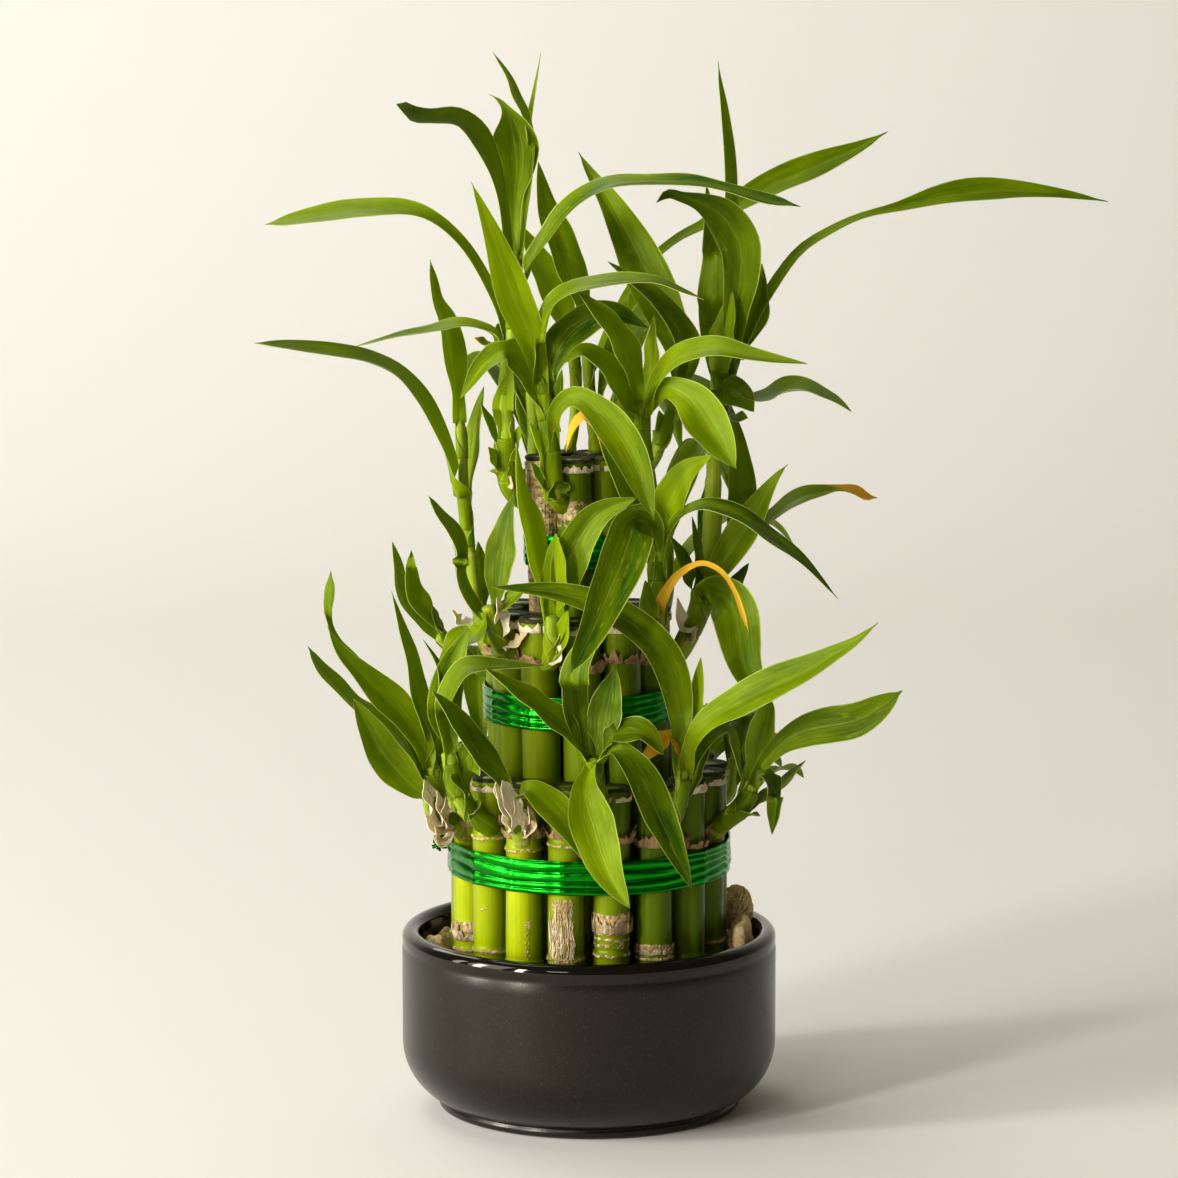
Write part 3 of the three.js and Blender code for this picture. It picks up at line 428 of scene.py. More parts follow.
def waxMaterial():
    paint = Paint("cutWax", readsMesh=False)
    dust = paint.specks(Size=420.0, Cover=0.42, Softness=0.12)
    lumps = paint.specks(Size=900.0, Cover=0.5, Softness=0.3)
    colour = paint.blend(paint.times(dust, 0.6), waxFinish["dark"], waxFinish["dusty"])
    roughness = paint.plus(paint.times(dust, 0.25), waxFinish["roughness"])
    return paint.done(paint.surface(colour, roughness, (lumps, 0.4, 0.0004), waxFinish["specular"]))


# Ribbon foil: bright green metal, drawn out in long strands and creased in places. The valleys between its
# strands and its creases are darkened with painted shade, and its threads are lightened with painted glints
foilFinish = {"colour": (0.002, 0.22, 0.005, 1), "paintedFoldShade": (0.0, 0.03, 0.002, 1),
              "paintedGlint": (0.03, 0.62, 0.03, 1), "roughness": 0.22}


def foilMaterial():
    paint = Paint("ribbonFoil")
    threads = paint.lines(Count=15.0, Stretch=16.0, Contrast=0.12)
    creases = paint.streaks(Width=3.4, Length=44.0, Cover=0.30, Softness=0.06)
    # painted shade: the lower a point lies between the strands, and where it is creased, the darker its
    # colour
    shade = paint.times(calc(paint.tree, "SUBTRACT", 1.0, paint.tone), 0.85)
    colour = paint.blend(shade, foilFinish["colour"], foilFinish["paintedFoldShade"])
    colour = paint.blend(paint.times(creases, 0.6), colour, foilFinish["paintedFoldShade"])
    # painted glints along the threads
    colour = paint.blend(paint.times(threads, 0.25), colour, foilFinish["paintedGlint"])
    height = paint.plus(paint.times(threads, 0.5), creases)
    return paint.done(paint.surface(colour, foilFinish["roughness"], (height, 0.16, 0.0003), Metallic=1.0))


# Bowl glaze: near black, satin with fine specks on the wall, glossy on the lip. Heights here are metres
glazeFinish = {"colour": (0.0030, 0.0024, 0.0014, 1), "speck": (0.05, 0.044, 0.034, 1), "wallRoughness": 0.26,
               "lipRoughness": 0.06, "lipFrom": 0.0578, "lipBorder": 0.0012, "specular": 0.40,
               "sheen": (1.0, 0.93, 0.78, 1)}


def glazeMaterial():
    paint = Paint("bowlGlaze", readsMesh=False)
    spot = paint.node("ShaderNodeTexCoord").outputs["Object"]
    height = paint.node("ShaderNodeSeparateXYZ", Vector=spot).outputs["Z"]
    low, high = (glazeFinish["lipFrom"] + side * glazeFinish["lipBorder"] for side in (-1, 1))
    lip = paint.between(height, low, high)
    wall = calc(paint.tree, "SUBTRACT", 1.0, lip)
    specks = paint.specks(Size=1500.0, Cover=0.33, Softness=0.02)
    mottle = paint.specks(Size=60.0, Cover=0.5, Softness=0.3)
    ripple = paint.specks(Size=700.0, Cover=0.5, Softness=0.3)
    pits = paint.times(paint.times(specks, wall), 0.5)
    colour = paint.blend(pits, glazeFinish["colour"], glazeFinish["speck"])
    satin = paint.plus(paint.times(mottle, 0.05), glazeFinish["wallRoughness"] - 0.02)
    gloss = paint.times(lip, glazeFinish["lipRoughness"] - glazeFinish["wallRoughness"])
    bump = (paint.times(ripple, wall), 0.12, 0.0002)
    return paint.done(paint.surface(colour, paint.plus(satin, gloss), bump, glazeFinish["specular"],
                                    glazeFinish["sheen"]))


# Pebbles and the fibre on them
stoneFinish = {"tan": (1.0, 0.78, 0.39, 1), "brown": (0.70, 0.46, 0.19, 1), "olive": (0.60, 0.47, 0.19, 1),
               "grit": (0.42, 0.38, 0.34, 1), "roughness": 0.82}


def stoneMaterial():
    paint = Paint("roughStone")
    patches = paint.specks(Size=110.0, Cover=0.5, Softness=0.16)
    grit = paint.specks(Size=900.0, Cover=0.5, Softness=0.2, Detail=4.0)
    colour = paint.blend(patches, stoneFinish["tan"], stoneFinish["brown"])
    colour = paint.blend(paint.tone, colour, stoneFinish["olive"])
    colour = paint.blend(paint.times(grit, 0.42), colour, stoneFinish["grit"], "MULTIPLY")
    bump = (paint.plus(grit, patches), 0.8, 0.0008)
    return paint.done(paint.surface(colour, stoneFinish["roughness"], bump))


fibreFinish = {"gold": (1.0, 0.82, 0.47, 1), "brown": (0.88, 0.64, 0.32, 1), "roughness": 0.75}


def fibreMaterial():
    paint = Paint("coirFibre")
    fray = paint.specks(Size=700.0, Cover=0.5, Softness=0.2)
    colour = paint.blend(paint.tone, fibreFinish["brown"], fibreFinish["gold"])
    colour = paint.blend(paint.times(fray, 0.5), colour, fibreFinish["brown"])
    return paint.done(paint.surface(colour, fibreFinish["roughness"], (fray, 0.4, 0.0004)))


materials = {
    "leaf": leafMaterial(), "stem": stemMaterial(), "cane": caneMaterial(), "paper": paperMaterial(),
    "wax": waxMaterial(), "foil": foilMaterial(), "glaze": glazeMaterial(), "stone": stoneMaterial(),
    "fibre": fibreMaterial(),
}
print("materials made:", len(materials))


# The bowl: a turned wall with a rounded lip, a big round lower corner and a small foot
bowl = {"radius": 65, "height": 63, "wall": 6.4, "floor": 8, "footRadius": 52.4, "footHeight": 3.2,
        "corner": 22, "sides": 160, "grooveDepth": 0.45, "cornerSteps": 18, "lipSteps": 14}


def bowlProfile():
    radius, bead = bowl["radius"], bowl["wall"] / 2
    foot, footTop = bowl["footRadius"], bowl["footHeight"]
    line = [(0.01, 0), (20, 0), (foot - 1.4, 0), (foot - 0.5, 0.35), (foot, 1.0), (foot, footTop - 0.3),
            (foot - bowl["grooveDepth"], footTop), (foot, footTop + 0.35)]
    bend = radius - bowl["corner"]
    start = math.asin((foot - bend) / bowl["corner"])
    for k in range(bowl["cornerSteps"] + 1):
        angle = mix(start, math.pi / 2, k / bowl["cornerSteps"])
        line.append((bend + bowl["corner"] * math.sin(angle),
                     footTop + 0.3 + bowl["corner"] * (math.cos(start) - math.cos(angle))))
    line += [(radius, z) for z in (30, 38, 46, 52, 56)]
    line += [(radius - 0.25, 56.8), (radius - 0.05, 57.6)]
    for k in range(bowl["lipSteps"] + 1):
        angle = math.pi * k / bowl["lipSteps"]
        line.append((radius - bead + bead * math.cos(angle), bowl["height"] - bead + bead * math.sin(angle)))
    inner = radius - bowl["wall"]
    line += [(inner, 57), (inner - 0.1, 45), (inner - 0.4, 20), (inner - 2.5, 12)]
    line += [(reach, bowl["floor"]) for reach in (inner - 8.5, 20, 0.01)]
    return np.array(line)


def ringsOf(radii, heights, sides):
    # level rings round the upright axis, as rows of points that start at the front
    return np.stack([np.outer(radii, np.sin(angles(sides))), -np.outer(radii, np.cos(angles(sides))),
                     np.repeat(heights[:, None], sides, axis=1)], axis=2)


piece = startPiece()
profile = bowlProfile()
addSkin(piece, ringsOf(profile[:, 0], profile[:, 1], bowl["sides"]), np.zeros(5), "glaze")
finishPiece(piece, "bowl", ["glaze"], "pot")
print("bowl made")

# Gravel and stones
gravel = {"inside": 49.6, "outside": 57.8, "top": 44.6, "pebbles": 190, "size": (1.9, 3.1), "sides": 72,
          "grain": (7, 12), "rough": 0.25}


def turnedLevel(points, turn):
    c, s = math.cos(turn), math.sin(turn)
    return points @ np.array([[c, s, 0], [-s, c, 0], [0, 0, 1]])


def roughBall(centre, size, seed, rough, steps, sides, turn=0.0):
    # a lumpy ball as rows of points, without its two poles
    tilt = (np.arange(steps) + 0.5) * math.pi / steps
    way = angles(sides)
    rows = np.stack([np.outer(np.sin(tilt), np.cos(way)), np.outer(np.sin(tilt), np.sin(way)),
                     np.repeat(np.cos(tilt)[:, None], sides, axis=1)], axis=2)
    for p in rows.reshape(-1, 3):
        bulge = wander(p[0] * 1.1 + seed, p[1] * 1.1, p[2] * 1.1)
        bulge += 0.45 * wander(p[0] * 2.6, p[1] * 2.6 + seed, p[2] * 2.6)
        p *= 1 + rough * (bulge + 0.18 * wander(p[0] * 6, p[1] * 6, p[2] * 6 + seed))
    return turnedLevel(rows * np.array(size), turn) + np.array(centre)


piece = startPiece()
sections = []
for angle in angles(gravel["sides"]):
    lump = [gravel["top"] + 0.8 * wander(3 * math.sin(angle), 3 * math.cos(angle), k) for k in range(3)]
    corners = [(gravel["inside"], 9.2), (gravel["outside"] - 2.8, 12.8), (gravel["outside"], 23),
               (gravel["outside"], lump[0]), (53.6, lump[1] + 0.6), (gravel["inside"], lump[2])]
    sections.append([outward(angle) * radius + skyward * z for radius, z in corners])
addSkin(piece, sections, (0, 0, 0.2, 0, 0.5), "stone", looped=True)
draw = randomStream(57)
for k in range(gravel["pebbles"]):
    angle = 2 * math.pi * (k + draw(-0.4, 0.4)) / gravel["pebbles"] * 2
    size = draw(*gravel["size"])
    centre = outward(angle) * draw(gravel["inside"] + 2.2, gravel["outside"] - 2.6)
    centre[2] = gravel["top"] + draw(-0.6, 0.5)
    shape = (size, size * draw(0.7, 1), size * draw(0.55, 0.8))
    rows = roughBall(centre, shape, k, gravel["rough"], *gravel["grain"], draw(0, 3))
    addSkin(piece, rows, (0, 0, draw(0, 0.8), 0, draw()), "stone")
finishPiece(piece, "gravel", ["stone"], "gravel_bed")

stones = {"thick": 4.3, "longest": 8.6, "rough": 0.26, "grain": (30, 44),
          "tones": [0.3, 0.55, 0.1, 0.2, 0.1, 0.0, 0.0, 0.2, 0.3, 0.2],
          "swell": [1.1, 1.15, 1, 1, 1, 1.7, 1.4, 1.1, 1, 1]}


def middleAndHalf(node):
    low, high = (np.array(corner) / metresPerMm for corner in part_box(node))
    return (low + high) / 2, (high - low) / 2


for k, (tone, swell) in enumerate(zip(stones["tones"], stones["swell"])):
    middle, half = middleAndHalf(f"stone_{k + 1}")
    half = half * swell
    size = np.array([min(max(half[0], half[1]), stones["longest"]), stones["thick"], half[2]])
    flat = roughBall((0, 0, 0), size, 11 + k * 7, stones["rough"], *stones["grain"])
    flat *= size / np.abs(flat).max(axis=(0, 1))
    piece = startPiece()
    rows = turnedLevel(flat, math.atan2(middle[0], -middle[1])) + middle + skyward * half[2] * (swell - 1)
    addSkin(piece, rows, (0, 0, tone, 0, k / 10), "stone")
    finishPiece(piece, f"pebble_{k + 1}", ["stone"], f"stone_{k + 1}")
print("gravel and stones made")


def pathWays(points):
    # the way along a line of points, at each of them
    return [unit(points[min(k + 1, len(points) - 1)] - points[max(k - 1, 0)]) for k in range(len(points))]


def tubeAlong(points, radii, sides):
    rows = []
    ways = pathWays(points)
    side = unit(np.cross(ways[0], skyward + np.array([0.3, 0.1, 0])))
    for point, along, radius in zip(points, ways, radii):
        side = squareTo(side, along)
        front = np.cross(side, along)
        rows.append([point + radius * (side * math.cos(a) + front * math.sin(a)) for a in angles(sides)])
    return rows


# The wad of coir: curled strands over a matted core
coir = {"strands": 180, "radius": 0.24, "curl": 2.6, "swell": (1.3, 1.15, 1.35), "lift": 4.4, "steps": 22,
        "core": 0.6}
middle, half = middleAndHalf("fibre_wad")
middle, half = middle + skyward * coir["lift"], half * np.array(coir["swell"])
piece = startPiece()
addSkin(piece, roughBall(middle, half * coir["core"], 5, 0.3, 22, 30), (0, 0, 0.5, 0, 0.5), "fibre")
draw = randomStream(1907)
for k in range(coir["strands"]):
    spin, tilt, phase, bend = draw(0, fullTurn), draw(-1, 1), draw(0, fullTurn), draw(1.0, coir["curl"])
    line = []
    for t in np.linspace(0, 1, coir["steps"]):
        a = spin + bend * 2.2 * t
        rise = tilt + 0.9 * math.sin(phase + 5 * t)
        out = np.array([math.cos(a) * math.cos(rise), math.sin(a) * math.cos(rise), math.sin(rise)])
        line.append(middle + half * out * (0.80 + 0.33 * math.sin(phase + 9 * t)))
    radii = coir["radius"] * np.sin(np.linspace(0.25, 2.9, coir["steps"])) ** 0.5
    addSkin(piece, tubeAlong(line, radii, 5), (0, 0, draw(0.3, 1), 0, draw()), "fibre")
finishPiece(piece, "coir_wad", ["fibre"], "fibre_wad")
print("coir made")

# The three tiers of canes, from the outside in
tiers = [
    {"name": "outer", "count": 17, "ring": 42, "radius": 6.3, "turn": 10.59, "top": 121, "nodes": [60, 99.5],
     "lean": 0},
    {"name": "middle", "count": 11, "ring": 25.6, "radius": 6.8, "turn": 2, "top": 175.5, "nodes": [158],
     "lean": 0.023},
    {"name": "inner", "count": 5, "ring": 11, "radius": 6.2, "turn": 0, "top": 229, "nodes": [209.5],
     "lean": 0.023},
]


def caneAngle(tier, index):
    return math.radians(tier["turn"] + 360 / tier["count"] * index)


def caneAxis(tier, index, z):
    return outward(caneAngle(tier, index)) * tier["ring"] + np.array([-tier["lean"] * z, 0, z])


# Ribbon: foil wound round each tier, gathered into strands
ribbon = {"middles": [89.5, 142.7, 196], "height": 11.6, "thickness": 1.05, "around": 300, "across": 44,
          "strands": 4.4}


def bandPiece(tierIndex):
    tier = tiers[tierIndex]
    level = ribbon["middles"][tierIndex]
    middle = np.array([-tier["lean"] * level, 0, level])
    step = math.pi / tier["count"]
    rows, values = [], []
    for k, angle in enumerate(angles(ribbon["around"])):
        # pulled straight from cane to cane
        offset = (angle - math.radians(tier["turn"]) + step) % (2 * step) - step
        chord = tier["ring"] * math.cos(step) / math.cos(step - abs(offset))
        reach = tier["radius"] + max(chord + 0.5, tier["ring"] + 0.1)
        loopX, loopY = 4 * math.sin(angle), 4 * math.cos(angle)
        edge = 0.25 * wander(loopX * 1.5, loopY * 1.5, tierIndex * 9.0)
        ring, marks = [], []
        for v in np.linspace(0, 1, ribbon["across"]):
            slope = v * ribbon["strands"] + 0.9 * wander(loopX * 0.3, loopY * 0.3, v * 1.5 + tierIndex * 5)
            pleat = abs(math.sin(math.pi * slope)) ** 0.6
            ply = 0.5 + 0.5 * wander(math.floor(slope) * 3.7, loopX * 0.4, loopY * 0.4)
            crease = wander(loopX * 0.9, loopY * 0.9, v * 6 + tierIndex * 3)
            proud = ribbon["thickness"] * (0.10 + pleat * (0.5 + 0.5 * ply) + 0.2 * crease)
            proud *= 0.35 + 0.65 * math.sin(math.pi * mix(0.06, 0.94, v)) ** 0.35
            rise = (v - 0.5) * (ribbon["height"] + 0.5 * edge) + 0.12 * edge
            ring.append(middle + outward(angle) * (reach + max(proud, 0.12)) + skyward * rise)
            # the strand's height goes in as tone, which the foil reads to paint shade into the valleys
            marks.append([v * 2 - 1, k / ribbon["around"], pleat, 0, 0.1 + 0.3 * tierIndex])
        for v in (0.5, -0.5):
            ring.append(middle + outward(angle) * reach + skyward * v * (ribbon["height"] - 0.4))
            marks.append([0, k / ribbon["around"], 0, 0, 0])
        rows.append(ring)
        values.append(marks)
    piece = startPiece()
    addSkin(piece, rows, values, "foil", looped=True)
    return piece


# Leaf blades: folded along a keel, waved at the edges, pointed, and thicker at the keel
bladeShape = {"rows": 36, "columns": 10, "thickness": 0.42, "fold": 0.32, "root": 0.27, "wave": 0.13,
              "twist": 0.22, "ragged": 0.05, "peak": 0.42, "hold": 11}
realWidth = 12.5
# Outlines: how wide a blade is along its length. Each pair of numbers is a share of its length and a share of
# its widest place, in percent
farPaddle = [0, 40, 23, 38, 45, 50, 56, 66, 69, 86, 76, 100, 82, 79, 88, 66, 95, 38, 100, 0]
bluntPaddle = [0, 35, 20, 35, 37, 43, 52, 72, 65, 100, 75, 88, 85, 60, 93, 83, 97, 62, 100, 25]
spoon = [0, 22, 18, 26, 35, 28, 46, 58, 55, 80, 63, 100, 70, 98, 78, 70, 84, 24, 93, 8, 100, 0]
lance = [0, 50, 40, 60, 62, 68, 72, 100, 79, 85, 86, 50, 93, 42, 100, 0]
longArch = [0, 50, 10, 60, 20, 85, 27, 100, 36, 93, 44, 80, 55, 53, 66, 63, 77, 40, 88, 60, 95, 42, 100, 0]
midArch = [0, 35, 25, 42, 37, 55, 50, 85, 60, 100, 70, 80, 78, 55, 90, 30, 100, 0]
slimArch = [0, 60, 30, 80, 45, 100, 58, 85, 75, 50, 90, 30, 100, 0]
broadFlame = [0, 33, 15, 58, 29, 85, 42, 100, 52, 95, 61, 80, 70, 62, 78, 45, 86, 28, 92, 16, 100, 0]
farBlade = [0, 26, 25, 28, 40, 32, 48, 38, 56, 60, 62, 80, 70, 92, 76, 100, 82, 80, 88, 50, 93, 30, 97, 15,
            100, 0]
wandering = [0, 40, 17, 38, 36, 32, 43, 20, 50, 28, 62, 77, 70, 100, 77, 72, 83, 50, 89, 32, 95, 18, 100, 0]
reed = [0, 80, 25, 100, 48, 95, 66, 87, 83, 50, 93, 22, 100, 0]
hooked = [0, 40, 22, 65, 38, 90, 50, 100, 60, 92, 68, 66, 77, 35, 87, 20, 93, 24, 100, 5]
fullHang = [0, 30, 10, 45, 18, 65, 33, 97, 50, 100, 67, 82, 84, 55, 95, 32, 100, 0]
lateBroad = [0, 28, 14, 36, 28, 50, 43, 83, 57, 100, 70, 93, 84, 70, 92, 42, 100, 0]
taperBroad = [0, 40, 13, 45, 24, 75, 39, 100, 52, 100, 65, 87, 77, 55, 88, 27, 100, 0]
evenBlade = [0, 50, 22, 80, 36, 93, 50, 100, 70, 93, 86, 78, 94, 45, 100, 0]
bottle = [0, 40, 20, 50, 33, 85, 47, 100, 60, 85, 75, 42, 88, 34, 95, 15, 100, 0]
drooping = [0, 32, 20, 40, 36, 60, 52, 94, 66, 100, 84, 66, 100, 0]
necked = [0, 60, 50, 60, 70, 45, 79, 36, 84, 70, 90, 100, 95, 70, 100, 0]
gilded = [0, 50, 21, 80, 43, 85, 53, 100, 62, 85, 70, 60, 78, 30, 84, 62, 89, 75, 94, 50, 100, 0]
loopTip = [0, 40, 12, 80, 30, 100, 50, 80, 66, 45, 85, 34, 100, 0]
curledStrip = [0, 100, 17, 100, 35, 66, 50, 45, 63, 43, 76, 36, 88, 48, 94, 35, 100, 0]


def leaf(path, depth, shown, tone=0.5, outline=None, wide=realWidth, dry=(), wave=1.0, look="leaf",
         bare=False):
    return {"path": path, "depth": depth, "shown": shown, "wide": wide, "tone": tone, "dry": dry,
            "look": look, "wave": wave, "outline": outline, "bare": bare}


def paperPiece(path, depth, shown, wide, tone, wave=1.0, outline=None):
    return leaf(path, depth, shown, tone, outline, wide, wave=wave, look="paper")


def shoot(tier, place, thick, thin, stem, leaves):
    return {"tier": tier, "place": place, "thick": thick, "thin": thin, "stem": stem, "leaves": leaves}
